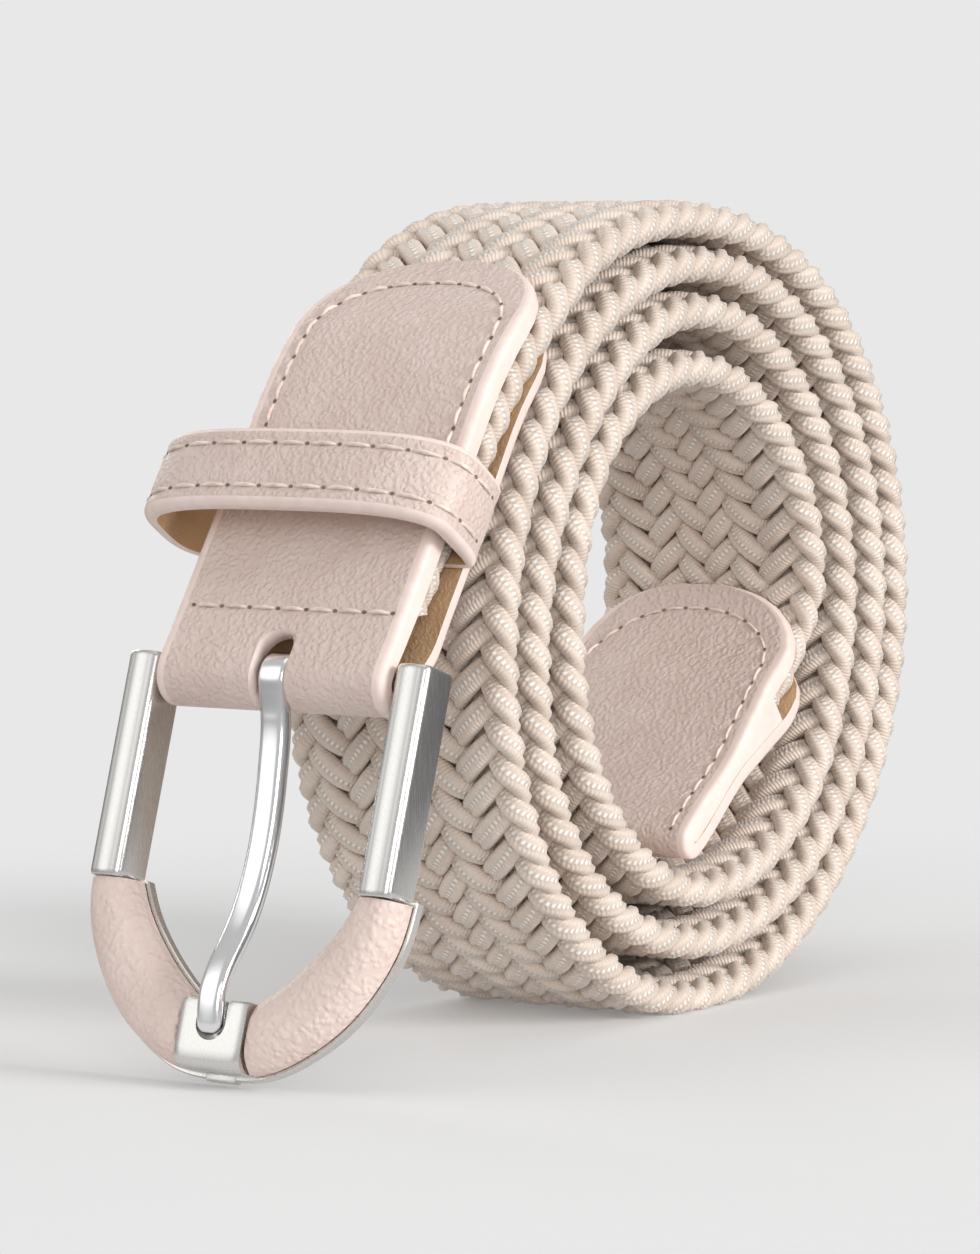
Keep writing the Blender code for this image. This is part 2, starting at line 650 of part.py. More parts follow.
def build_prong(frame, mat):
    line = [(row["t"] * FRAME_LENGTH, row["d"] * BAR_DEPTH) for row in PRONG_ROWS]
    eye_radius = PIN_RADIUS + CLEAR + PRONG_EYE_THICK / 2.0
    steps = 13
    for k in range(steps + 1):
        angle = math.radians(PRONG_LEAVES + (PRONG_CURLS - PRONG_LEAVES) * k / steps)
        line.append((PIN_DROP + eye_radius * math.cos(angle), PIN_DEPTH - eye_radius * math.sin(angle)))
    points, length = spline(line, step=PRONG_STEP)
    slope = np.gradient(points, length, axis=0)
    slope /= np.linalg.norm(slope, axis=1)[:, None]
    eye_start = FRAME_LENGTH * PRONG_ROWS[0]["t"] - PIN_DROP
    rings = []
    for (t, d), (dt, dd), s in zip(points, slope, length):
        share = min(s / eye_start, 1.0)
        width = PRONG_NECK + (PRONG_WIDTH - PRONG_NECK) * share
        thick = PRONG_POINT_THICK + (PRONG_THICK - PRONG_POINT_THICK) * min(share * 3.0, 1.0)
        fade = min(max(1.0 - (eye_start - s) / PRONG_WIDTH, 0.0), 1.0)
        thick += (PRONG_EYE_THICK - PRONG_THICK) * fade
        round_end = min(1.0, math.sqrt(max(s, 0.0) / PRONG_EYE_THICK) * 0.75 + 0.38)
        thick *= round_end
        section = rounded_section(width / 2.0 * round_end, thick / 2.0, thick * 0.42, 2)
        rings.append([frame.place(t - dd * b, y, d + dt * b) for y, b in section])
    return add_object("prong", loft(rings), mat)


def hinge_empty(name, pin, parent=None):
    empty = bpy.data.objects.new(name, None)
    empty.empty_display_size = BAR_WIDTH
    bpy.context.scene.collection.objects.link(empty)
    if parent:
        empty.parent = parent
    else:
        empty.location = (pin[0], 0.0, pin[1])
    return empty


def attach(obj, empty, pin):
    """Parents a piece to its hinge without moving it."""
    for vertex in obj.data.vertices:
        vertex.co -= Vector((pin[0], 0.0, pin[1]))
    obj.parent = empty
    for modifier in obj.modifiers:
        tool = modifier.object
        for vertex in tool.data.vertices:
            vertex.co -= Vector((pin[0], 0.0, pin[1]))
        tool.parent = empty


def main():
    clear_scene()
    web_mat = material("elastic_braid", SAND, 0.85, 0.0)
    leather_mat = material("pink_leather", PINK, 0.55, 0.0)
    steel_mat = material("brushed_steel", SILVER, 0.35, 1.0)
    chrome_mat = material("polished_steel", SILVER, 0.15, 1.0)
    web = Web()
    pin = pin_axis(web)
    frame = Frame(pin)
    build_webbing(web, web_mat)
    build_tab(web, leather_mat)
    build_keeper(web, leather_mat)
    build_tip(web, leather_mat)
    swing = hinge_empty("frame_hinge", pin)
    prong_swing = hinge_empty("prong_hinge", pin, swing)
    attach(build_frame(frame, steel_mat), swing, pin)
    attach(build_pad(frame, "arch_leather_left", 1.0, leather_mat), swing, pin)
    attach(build_pad(frame, "arch_leather_right", -1.0, leather_mat), swing, pin)
    attach(build_prong(frame, chrome_mat), prong_swing, pin)


main()
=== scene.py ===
# %% [markdown]
# # A braided elastic belt
# The belt is rolled into nearly four turns and stands on its rim, with its buckle hanging in
# front. It is made of a flat braid of elastic cords, pale pink leather at both ends, a leather
# keeper, and a metal pin buckle whose arch is covered with leather. The imported solids give every
# place and size, so the first step loads them.

import math

import bpy
import numpy as np
from mathutils import Matrix, Vector


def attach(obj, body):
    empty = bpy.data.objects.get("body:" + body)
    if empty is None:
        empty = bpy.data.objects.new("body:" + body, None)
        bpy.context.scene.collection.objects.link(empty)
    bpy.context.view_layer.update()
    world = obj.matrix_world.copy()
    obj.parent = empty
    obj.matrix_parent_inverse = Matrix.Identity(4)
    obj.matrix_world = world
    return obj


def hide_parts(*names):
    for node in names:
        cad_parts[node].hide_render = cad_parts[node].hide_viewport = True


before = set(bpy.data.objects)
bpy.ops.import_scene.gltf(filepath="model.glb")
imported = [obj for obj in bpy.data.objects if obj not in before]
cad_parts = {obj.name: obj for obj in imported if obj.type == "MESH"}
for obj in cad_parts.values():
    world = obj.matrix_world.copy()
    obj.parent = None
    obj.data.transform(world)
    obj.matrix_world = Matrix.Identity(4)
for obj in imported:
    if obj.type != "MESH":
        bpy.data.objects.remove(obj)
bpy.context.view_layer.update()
MM = 0.001

# %% [markdown]
# ## Camera
# The photo was taken with a long lens from a little above the table. The place, the aim and the
# small roll below were fitted to the outline of the roll and the bars of the buckle. A long lens
# keeps the near and the far rim of the roll almost equally large.

# %% Camera
AZIMUTH, ELEVATION, ROLL = (math.radians(v) for v in (-55.79, 4.45, -0.42))
back = Vector((math.sin(AZIMUTH) * math.cos(ELEVATION),
               -math.cos(AZIMUTH) * math.cos(ELEVATION), math.sin(ELEVATION)))
level = Vector((math.cos(AZIMUTH), math.sin(AZIMUTH), 0.0))
right = level * math.cos(ROLL) + back.cross(level) * math.sin(ROLL)
turn = Matrix((right, back.cross(right), back)).transposed()


def new_object(name, data):
    """An object of the scene with its own mesh, light or camera."""
    made = bpy.data.objects.new(name, data)
    bpy.context.scene.collection.objects.link(made)
    return made


camera = new_object("camera", bpy.data.cameras.new("camera"))
camera.matrix_world = Matrix.Translation((-0.5736, -0.3748, 0.1035)) @ turn.to_4x4()
camera.data.sensor_width = 36.0
camera.data.lens = 148.45
camera.data.clip_start = 0.01
bpy.context.scene.camera = camera
print("camera", [round(v, 4) for v in camera.location])

# %% [markdown]
# ## Helpers for shapes
# Nearly every piece of a belt is a long band. Such a piece is made of rings of points along a
# line, and the rings are joined by faces. Short helpers measure and read a line, one puts a smooth
# curve through a few chosen points, and one skins the rings. This gives more control than a curve
# object with a bevel, because each ring may have its own width and thickness.

# %% Lengths, directions and places along a line
def run_along(points):
    """Distance along a line from its first point to each of its points."""
    return np.concatenate([[0.0], np.cumsum(np.linalg.norm(np.diff(points, axis=0), axis=1))])


def directions(points):
    """Unit direction of a line at each of its points."""
    slope = np.gradient(points, axis=0)
    return slope / np.linalg.norm(slope, axis=1)[:, None]


def look_up(table, marks, at):
    """Rows of a table, read at places between its marks."""
    return np.stack([np.interp(at, marks, column) for column in table.T], axis=-1)


def over(spot, out, rise, y):
    """World points at a height over spots in X and Z, and at y across."""
    return np.stack(np.broadcast_arrays(spot[..., 0] + out[..., 0] * rise, y,
                                        spot[..., 1] + out[..., 1] * rise), axis=-1)


print("a square's corners lie at", run_along([(0, 0), (1, 0), (1, 1), (0, 1)]))

# %% A smooth curve through points
def curve_through(points, count):
    """Even samples of the natural cubic curve through points, with their lengths."""
    pts = np.array(points, dtype=float)
    knots = run_along(pts)
    n = len(pts)
    h = np.diff(knots)
    matrix = np.eye(n)
    side = np.zeros_like(pts)
    for i in range(1, n - 1):
        matrix[i, i - 1:i + 2] = (h[i - 1], 2.0 * (h[i - 1] + h[i]), h[i])
        side[i] = 6.0 * ((pts[i + 1] - pts[i]) / h[i] - (pts[i] - pts[i - 1]) / h[i - 1])
    bend = np.linalg.solve(matrix, side)
    fine = np.linspace(0.0, knots[-1], 40 * n)
    cell = np.clip(np.searchsorted(knots, fine, side="right") - 1, 0, n - 2)
    width = h[cell][:, None]
    a = (knots[cell + 1] - fine)[:, None] / width
    b = (fine - knots[cell])[:, None] / width
    curve = a * pts[cell] + b * pts[cell + 1]
    curve += ((a ** 3 - a) * bend[cell] + (b ** 3 - b) * bend[cell + 1]) * width ** 2 / 6.0
    length = run_along(curve)
    even = np.linspace(0.0, length[-1], count)
    return look_up(curve, length, even), even


print("a test curve of", len(curve_through([(0, 0), (1, 1), (2, 0)], 9)[0]), "points")

# %% Skin rings of points
def skin(name, rings, body, materials, columns=None, uv=None, around=False, sharp=40.0):
    """Joins rings (rings, points, 3) into one closed piece; columns picks a material per side."""
    rings = np.asarray(rings, dtype=float)
    n, m, _ = rings.shape
    i = np.arange(n if around else n - 1)[:, None]
    j = np.arange(m)[None, :]
    after, beside = (i + 1) % n, (j + 1) % m
    quads = np.stack([i * m + j, i * m + beside, after * m + beside, after * m + j], axis=-1)
    faces = quads.reshape(-1, 4).tolist()
    if not around:
        faces += [list(range(m))[::-1], list(range((n - 1) * m, n * m))]
    mesh = bpy.data.meshes.new(name)
    mesh.from_pydata(rings.reshape(-1, 3).tolist(), [], faces)
    marks = np.tile(columns if columns is not None else [0] * m, len(i)).tolist()
    marks += [0] * (len(faces) - len(marks))
    mesh.polygons.foreach_set("material_index", marks)
    if uv is not None:
        along, round_it = uv
        across = np.append(round_it, 1.0)
        along = np.append(along, along[-1])
        u = np.stack([along[i], along[i], along[i + 1], along[i + 1]], axis=-1)
        v = np.stack([across[j], across[j + 1], across[j + 1], across[j]], axis=-1)
        pairs = np.stack(np.broadcast_arrays(u, v), axis=-1).reshape(-1, 2)
        layer = mesh.uv_layers.new(name="cover")
        flat = np.zeros((len(mesh.loops), 2))
        flat[:len(pairs)] = pairs
        layer.data.foreach_set("uv", flat.ravel())
    for material in materials:
        mesh.materials.append(material)
    return finish_piece(name, mesh, body, sharp)


def finish_piece(name, mesh, body, sharp):
    """Turns faces outwards, shades them smooth and lets the piece ride on a body."""
    mesh.calc_loop_triangles()
    points = np.empty(len(mesh.vertices) * 3)
    mesh.vertices.foreach_get("co", points)
    corners = points.reshape(-1, 3)[[t.vertices[:] for t in mesh.loop_triangles]]
    volume = np.einsum("ij,ij->i", corners[:, 0], np.cross(corners[:, 1], corners[:, 2])).sum() / 6
    if volume < 0.0:
        mesh.flip_normals()
    mesh.shade_smooth()
    mesh.set_sharp_from_angle(angle=math.radians(sharp))
    piece = new_object(name, mesh)
    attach(piece, body)
    print(name, len(mesh.loop_triangles), "triangles,", round(abs(volume) * 1e6, 2), "cm3")
    return piece


# %% [markdown]
# ## Helpers for finishes
# A finish that several materials share is a node group with named inputs, so one pebbled grain
# serves the tab, the keeper, the tip and the arch. The helpers below add a node and set or link
# its sockets in one call, which keeps a shader short enough to read.

# %% Nodes and groups
def node(tree, kind, inputs=None, **settings):
    """Adds a node; inputs maps its sockets to values or to the outputs of other nodes."""
    made = tree.nodes.new(kind)
    for key, value in settings.items():
        setattr(made, key, value)
    for key, value in (inputs or {}).items():
        if isinstance(value, bpy.types.NodeSocket):
            tree.links.new(value, made.inputs[key])
        else:
            made.inputs[key].default_value = value
    return made


def feed(target, **outputs):
    """Links outputs to a node's inputs, by the sockets' names."""
    for label, output in outputs.items():
        target.id_data.links.new(output, target.inputs[label.replace("_", " ")])


def maths(tree, operation, *values):
    """A Math node's result."""
    return node(tree, "ShaderNodeMath", dict(enumerate(values)), operation=operation).outputs[0]


def flip(tree, value):
    """1 - value."""
    return maths(tree, "SUBTRACT", 1.0, value)


def ramp(tree, value, low, high):
    """0 below low, 1 above high, and smooth in between."""
    return node(tree, "ShaderNodeMapRange", {"Value": value, "From Min": low, "From Max": high},
                interpolation_type="SMOOTHSTEP").outputs["Result"]


def vectors(tree, operation, *values, output=0):
    """A Vector Math node's result; the plain number that some operations give is "Value"."""
    made = node(tree, "ShaderNodeVectorMath", dict(enumerate(values)), operation=operation)
    return made.outputs[output]


def noise(tree, vector, scale, detail, output="Fac", **more):
    """A noise texture's output."""
    inputs = {"Vector": vector, "Scale": scale, "Detail": detail, **more}
    return node(tree, "ShaderNodeTexNoise", inputs).outputs[output]


def object_coords(tree):
    """Coordinates in metres that stay with the piece."""
    return node(tree, "ShaderNodeTexCoord").outputs["Object"]


def new_group(name, inputs, outputs):
    """A shader node group with named float sockets; returns it with its input and output nodes."""
    tree = bpy.data.node_groups.new(name, "ShaderNodeTree")
    for label, value in inputs.items():
        socket = tree.interface.new_socket(name=label, in_out="INPUT", socket_type="NodeSocketFloat")
        socket.default_value = value
    for label in outputs:
        tree.interface.new_socket(name=label, in_out="OUTPUT", socket_type="NodeSocketFloat")
    print("group", name, "inputs", list(inputs), "outputs", list(outputs))
    return tree, tree.nodes.new("NodeGroupInput"), tree.nodes.new("NodeGroupOutput")


def use_group(tree, name, **values):
    """Places a group in a material with its own values."""
    made = tree.nodes.new("ShaderNodeGroup")
    made.node_tree = bpy.data.node_groups[name]
    for key, value in values.items():
        made.inputs[key.replace("_", " ")].default_value = value
    return made.outputs


# %% [markdown]
# ### Cord cover
# Each elastic cord has a knitted cover. It shows as fine slanted ribs on two lobes, and as a row of
# small loops in the groove between the lobes. Two outputs are masks for painted light on the cord's
# colour: a painted highlight on the loops and painted shade in the groove. The cords' coordinates
# run along the cord in metres and once round it, so sine waves of those two numbers draw ribs that
# follow every bend.

# %% Group: cord cover
RIB_HEIGHT, LOOP_HEIGHT = 0.75, 1.6


def wave(tree, turns):
    """A sine wave between 0 and 1 that repeats at each whole number of turns."""
    swing = maths(tree, "SINE", maths(tree, "MULTIPLY", turns, math.tau))
    return maths(tree, "MULTIPLY_ADD", swing, 0.5, 0.5)


tree, start, end = new_group(
    "Cord cover", {"Rib Pitch": 0.42, "Slant": 0.8, "Loop Pitch": 0.62}, ["Height", "Loops", "Groove"])
place = node(tree, "ShaderNodeSeparateXYZ", {0: node(tree, "ShaderNodeUVMap", uv_map="cover").outputs[0]})
length_mm = maths(tree, "MULTIPLY", place.outputs["X"], 1000.0)
twice_round = maths(tree, "FRACT", maths(tree, "MULTIPLY", place.outputs["Y"], 2.0))
off_middle = maths(tree, "ABSOLUTE", maths(tree, "SUBTRACT", twice_round, 0.5))
from_groove = maths(tree, "MULTIPLY", off_middle, 2.0)
slant = maths(tree, "MULTIPLY", from_groove, start.outputs["Slant"])
ribs = wave(tree, maths(tree, "ADD", maths(tree, "DIVIDE", length_mm, start.outputs["Rib Pitch"]), slant))
loop_wave = wave(tree, maths(tree, "DIVIDE", length_mm, start.outputs["Loop Pitch"]))
groove = flip(tree, ramp(tree, from_groove, 0.05, 0.22))
loops = maths(tree, "MULTIPLY", groove, maths(tree, "MULTIPLY_ADD", loop_wave, 0.70, 0.30))
soft_ribs = maths(tree, "MULTIPLY", maths(tree, "MULTIPLY", ribs, RIB_HEIGHT), flip(tree, groove))
height = maths(tree, "MULTIPLY_ADD", loops, LOOP_HEIGHT, soft_ribs)
# The loops' mask carries a painted highlight into the cord's colour, and the groove's mask carries painted
# shade.
feed(end, Height=height, Loops=loops, Groove=groove)

# %% [markdown]
# ### Pebbled grain
# Pale pink leather has a fine pebbled grain with short creases between the pebbles. A smooth
# Voronoi pattern gives the round pebbles, and a noise bends them and adds soft wrinkles, so that
# no pebble looks like its neighbour. It reads object coordinates, because the pieces are modelled
# at their real size. The heights of pebbles, wrinkles and pores are added up to one relief.

# %% Group: pebbled grain
BEND_BY, WRINKLE_HEIGHT, PORE_HEIGHT = 1.1 * MM, 0.7, 0.25
tree, start, end = new_group("Pebbled grain", {"Pebble Size": 0.9}, ["Height", "Crease"])
coords = object_coords(tree)
cells_per_m = maths(tree, "DIVIDE", 1000.0, start.outputs["Pebble Size"])
wander = noise(tree, coords, maths(tree, "MULTIPLY", cells_per_m, 0.45), 2.0, "Color")
bent = vectors(tree, "MULTIPLY_ADD", wander, (BEND_BY, BEND_BY, BEND_BY), coords)
cells = node(tree, "ShaderNodeTexVoronoi", {"Vector": bent, "Scale": cells_per_m, "Smoothness": 0.55},
             feature="SMOOTH_F1")
pebbles = flip(tree, ramp(tree, cells.outputs["Distance"], 0.12, 0.72))
wrinkles = noise(tree, bent, maths(tree, "MULTIPLY", cells_per_m, 0.5), 2.0, Distortion=1.5)
pores = noise(tree, coords, maths(tree, "MULTIPLY", cells_per_m, 2.6), 3.0)
relief = maths(tree, "MULTIPLY_ADD", wrinkles, WRINKLE_HEIGHT, pebbles)
relief = maths(tree, "MULTIPLY_ADD", pores, PORE_HEIGHT, relief)
feed(end, Height=relief, Crease=flip(tree, ramp(tree, relief, 0.45, 1.3)))

# %% [markdown]
# ### Slow tone and brushed lines
# Nothing real has one even colour. The slow tone group gives soft patches a few millimetres wide
# that lighten or darken a colour a little. The brushed lines group stretches a noise along the
# vertical, as a satin brush leaves it on the bars of the buckle.

# %% Groups: slow tone and brushed lines
tree, start, end = new_group("Slow tone", {"Patch Size": 6.0}, ["Tone"])
patches_per_m = maths(tree, "DIVIDE", 1000.0, start.outputs["Patch Size"])
feed(end, Tone=ramp(tree, noise(tree, object_coords(tree), patches_per_m, 2.0), 0.3, 0.7))

tree, start, end = new_group("Brushed lines", {"Line Width": 0.12}, ["Height", "Lines"])
drawn_out = vectors(tree, "MULTIPLY", object_coords(tree), (1.0, 1.0, 0.03))
lines = noise(tree, drawn_out, maths(tree, "DIVIDE", 1000.0, start.outputs["Line Width"]), 4.0)
feed(end, Height=lines, Lines=ramp(tree, lines, 0.35, 0.65))

# %% [markdown]
# ## Materials
# Each material keeps its own Principled shader, and its plain numbers sit on the shader's own
# sockets. Only what changes over the surface comes through nodes: the colour, the roughness and
# the bump height.

# %% A material from two colours, a mask and a height
def linear(red, green, blue):
    """Turns the 0 to 255 numbers of a picture into the linear colour that a shader reads."""
    def one(value):
        value /= 255.0
        return value / 12.92 if value <= 0.04045 else ((value + 0.055) / 1.055) ** 2.4
    return (one(red), one(green), one(blue), 1.0)


def mix(tree, factor, first, second):
    """Mixes two colours by a mask."""
    inputs = {0: factor, 6: first, 7: second}
    return node(tree, "ShaderNodeMix", inputs, data_type="RGBA").outputs[2]


def new_material(name, **constants):
    """A material with its constants set on its Principled shader, by the sockets' names."""
    made = bpy.data.materials.new(name)
    made.use_nodes = True
    shader = made.node_tree.nodes["Principled BSDF"]
    for label, value in constants.items():
        shader.inputs[label.replace("_", " ")].default_value = value
    print("material", name, constants)
    return made, made.node_tree, shader


def bump(tree, shader, height, depth_mm, strength):
    """Feeds a height in 0..1 to the shader's normal; depth_mm is how deep a full step looks."""
    inputs = {"Height": height, "Strength": strength, "Distance": depth_mm * MM}
    feed(shader, Normal=node(tree, "ShaderNodeBump", inputs).outputs["Normal"])


# %% Cord material
cord_cover, tree, shader = new_material("cord_cover", Roughness=0.42, Sheen_Weight=0.35, Sheen_Roughness=0.4)
cover = use_group(tree, "Cord cover")
tone = use_group(tree, "Slow tone", Patch_Size=9.0)["Tone"]
body_colour = mix(tree, tone, linear(210, 193, 179), linear(223, 208, 195))
# Painted shade: the cord's colour darkens in the groove between the lobes.
groove_shaded_colour = mix(tree, maths(tree, "MULTIPLY", cover["Groove"], 0.9), body_colour, linear(152, 130, 114))
# Painted highlight: the loops in the groove are lightened almost to white.
feed(shader, Base_Color=mix(tree, cover["Loops"], groove_shaded_colour, linear(250, 242, 233)))
bump(tree, shader, cover["Height"], 0.11, 0.8)

# %% Leather materials
def leather(name, first, second, pebble, depth, roughness, coat=0.12):
    """Pebbled leather with painted shade in its creases: first and second are its two tones."""
    made, tree, shader = new_material(name, Coat_Weight=coat, Coat_Roughness=0.35)
    grain = use_group(tree, "Pebbled grain", Pebble_Size=pebble)
    tone = use_group(tree, "Slow tone", Patch_Size=7.0)["Tone"]
    base = mix(tree, tone, linear(*first), linear(*second))
    # Painted shade: the colour darkens a little in the low creases of the grain.
    crease_shade = maths(tree, "MULTIPLY", grain["Crease"], 0.10)
    feed(shader, Base_Color=mix(tree, crease_shade, base, linear(190, 160, 148)),
         Roughness=maths(tree, "MULTIPLY_ADD", grain["Crease"], 0.15, roughness))
    bump(tree, shader, grain["Height"], depth, 0.7)
    return made


grain_leather = leather("grain_leather", (213, 192, 183), (219, 200, 191), 0.72, 0.21, 0.42)
# The arch leather is the same leather in a lighter tone, painted light because the arch faces up into the
# light; its pebbles are coarser.
lit_arch_leather = leather("lit_arch_leather", (219, 198, 189), (226, 207, 198), 0.90, 0.19, 0.42)
edge_paint = leather("edge_paint", (236, 216, 207), (239, 220, 212), 1.6, 0.01, 0.38)
raw_leather = leather("raw_leather", (186, 150, 112), (204, 170, 130), 0.5, 0.08, 0.85, coat=0.0)

# %% Thread and metal materials
def two_tone(name, roughness, patch_size, first, second, sheen=0.0):
    """A dull material whose colour wanders between two tones."""
    made, tree, shader = new_material(name, Roughness=roughness, Sheen_Weight=sheen)
    tone = use_group(tree, "Slow tone", Patch_Size=patch_size)["Tone"]
    feed(shader, Base_Color=mix(tree, tone, linear(*first), linear(*second)))
    return made


def steel(name, colour, roughness, line_width, depth):
    """Plated metal with fine lines left by the brush."""
    made, tree, shader = new_material(name, Metallic=1.0, Base_Color=linear(*colour))
    brushed = use_group(tree, "Brushed lines", Line_Width=line_width)
    feed(shader, Roughness=maths(tree, "MULTIPLY_ADD", brushed["Lines"], 0.07, roughness))
    bump(tree, shader, brushed["Height"], depth, 0.5)
    return made


thread = two_tone("thread", 0.55, 1.2, (214, 195, 183), (236, 223, 213), sheen=0.3)
# Painted shade: a dark plug at each needle hole stands for the shadow in the hole.
needle_hole_shade = two_tone("needle_hole_shade", 0.9, 2.0, (112, 88, 76), (142, 116, 102))
brushed_steel = steel("brushed_steel", (216, 214, 211), 0.22, 0.14, 0.003)
bright_steel = steel("bright_steel", (236, 236, 238), 0.12, 0.30, 0.003)

# %% [markdown]
# ## The line of the webbing
# The middle line of the webbing starts in the buckle's tab, runs up the strap and then winds
# inwards. It is given as the outer radius in eight directions, and as the air between one turn
# and the next, in the same numbers as the solid. Where leather holds the webbing, it is pressed
# to three quarters of its thickness.

# %% Sizes of the roll
WEB_WIDTH, WEB_THICK, WEB_PRESSED, PRESS_RUN = 35.0 * MM, 4.8 * MM, 0.75, 9.0 * MM
ROLL_RADIUS, LAYER_AIR, FLOOR_PRESS = 53.2 * MM, 1.2 * MM, 0.9 * MM
FIRST_TURN = (1.000, 1.056, 1.082, 1.058, 1.000, 0.926, 0.844, 0.842)
AIR_BELOW = ((1.0, 1.2, 1.1, 0.8, 1.6, 1.8, 2.2, 2.6),
             (1.1, 2.2, 2.6, 2.0, 1.8, 3.7, 2.4, 0.5),
             (2.2, 2.5, 3.2))
STRAP_LEAN, STRAP_RUN, STRAP_PROUD = math.radians(34.2), 31.7 * MM, 1.0 * MM
END_TO_PIN, PIN_OFFSET, PIN_RADIUS, CLEAR = 10.0 * MM, 0.75 * MM, 1.5 * MM, 0.3 * MM
ALONG = np.array([math.sin(STRAP_LEAN), math.cos(STRAP_LEAN)])
FRONT = np.array([-math.cos(STRAP_LEAN), math.sin(STRAP_LEAN)])
TAB_REACH, TIP_REACH = 52.5 * MM, 18.8 * MM


def belt_points():
    """Chosen points of the middle line in X and Z."""
    centre = np.array([0.0, ROLL_RADIUS])
    layer = [ROLL_RADIUS * share - WEB_THICK / 2.0 for share in FIRST_TURN]
    radii = list(layer)
    radii[4] += FLOOR_PRESS
    for air in AIR_BELOW:
        layer = [radius - WEB_THICK - LAYER_AIR * gap for radius, gap in zip(layer, air)]
        radii += layer
    leave = centre + FRONT * (radii[0] + STRAP_PROUD)
    foot = leave - ALONG * STRAP_RUN
    points = [foot + ALONG * STRAP_RUN * share for share in (0.0, 0.33, 0.66, 1.0)]
    first = math.pi - STRAP_LEAN
    angles = [first + (math.pi / 2.0 - first) * share for share in (0.28, 0.52, 0.76)]
    points += [centre + radii[0] * np.array([math.cos(a), math.sin(a)]) for a in angles]
    for k, radius in enumerate(radii):
        angle = math.pi / 2.0 - k * math.pi / 4.0
        points.append(centre + radius * np.array([math.cos(angle), math.sin(angle)]))
    for x, z in ((0.96, -0.13), (0.87, -0.28), (0.68, -0.445)):
        points.append(centre + radii[-1] * np.array([x, z]))
    return points


line, line_length = curve_through(belt_points(), 1900)
line_way = directions(line)
line_out = np.stack([-line_way[:, 1], line_way[:, 0]], axis=1)
WEB_LENGTH = line_length[-1]
print("webbing", round(WEB_LENGTH / MM, 1), "mm long")

# %% Places on the line
def on_line(s):
    """Point, direction and outward normal in XZ at lengths s; both ends run on straight."""
    s = np.asarray(s, dtype=float)
    inside = np.clip(s, 0.0, WEB_LENGTH)
    point, way, out = (look_up(table, line_length, inside) for table in (line, line_way, line_out))
    return point + way * (s - inside)[..., None], way, out


def pressed(s):
    """Share of its thickness that the webbing keeps at lengths s."""
    room = np.minimum(s - TAB_REACH, WEB_LENGTH - TIP_REACH - s)
    share = np.clip(room / PRESS_RUN + 0.5, 0.0, 1.0)
    return WEB_PRESSED + (1.0 - WEB_PRESSED) * share * share * (3.0 - 2.0 * share)


PIN = on_line(0.0)[0] - ALONG * END_TO_PIN + FRONT * PIN_OFFSET
print("pin at", (PIN / MM).round(2), "mm")

# %% [markdown]
# ## The braid
# A flat braid is one set of cords. Every cord crosses the band at a slant, folds round the edge
# and comes back. On its way it lies over two cords and under two, and the column that it is in
# decides which, so the cords that lie on top line up as a herringbone. One table of 30 steps
# holds the place across and the height of a cord, and every cord reads it from its own start.

# %% One cord's table of steps
CORDS, STEPS, COLUMNS = 15, 30, 15
CORD_WIDE, CORD_THICK = 3.2 * MM, 2.4 * MM
COLUMN_PITCH, CORD_LIFT = 2.09 * MM, 1.12 * MM
EDGE_COLUMNS = (-0.38, 0.22, 1.42, 2.70, 3.90)
EDGE_HEIGHT, EDGE_TURN = 0.88, 58.0
across_steps, height_steps, turn_steps = [], [], []
for step in range(STEPS):
    going_right = step < COLUMNS
    column = step if going_right else STEPS - step
    from_edge = min(column, COLUMNS - column)
    place = EDGE_COLUMNS[from_edge] if from_edge < len(EDGE_COLUMNS) else from_edge
    across_steps.append(place if column < COLUMNS / 2.0 else COLUMNS - place)
    on_top = (column % 4 in (0, 1)) == going_right
    share = (0.0, EDGE_HEIGHT)[from_edge] if from_edge < 2 else 1.0
    height_steps.append(share if on_top else -share)
    turned = (0.0, EDGE_TURN)[from_edge] if from_edge < 2 else 90.0
    turn_steps.append(-turned if going_right else turned)
print("heights", height_steps)


def read_table(table, place):
    """Smooth value of a table that repeats, at places between its steps."""
    table = np.array(table)
    cell = np.floor(place).astype(int)
    f = place - cell
    p0, p1, p2, p3 = (table[(cell + k) % STEPS] for k in (-1, 0, 1, 2))
    return 0.5 * (2 * p1 + (p2 - p0) * f + (2 * p0 - 5 * p1 + 4 * p2 - p3) * f * f
                  + (3 * p1 - p0 - 3 * p2 + p3) * f ** 3)


# %% [markdown]
# A cord has two lobes with a groove between them, so its outline is drawn point by point.
# The outline must look the same when it is turned by half a turn, because a cord turns over each
# time it folds round the edge.

# %% Outline of a cord
half_outline = [(1.0, 0.0), (0.86, 0.62), (0.50, 1.0), (0.0, 0.74), (-0.50, 1.0), (-0.86, 0.62)]
cord_outline = np.array(half_outline + [(-x, -z) for x, z in half_outline])
cord_outline = cord_outline * (CORD_WIDE / 2.0, CORD_THICK / 2.0)
around_cord = np.arange(len(cord_outline)) / len(cord_outline)
print("outline of", len(cord_outline), "points")

# %% [markdown]
# Leather holds the webbing at both ends, and there the cords lie flatter and closer together.
# Between the keeper and the end of the tab they are round again, and lie a little nearer to the
# back leather. No point of a cord goes below the table.

# %% Press a cord where leather holds it
KEEPER_END, SQUEEZE, SINK = 20.5 * MM, 0.07, 0.55 * MM


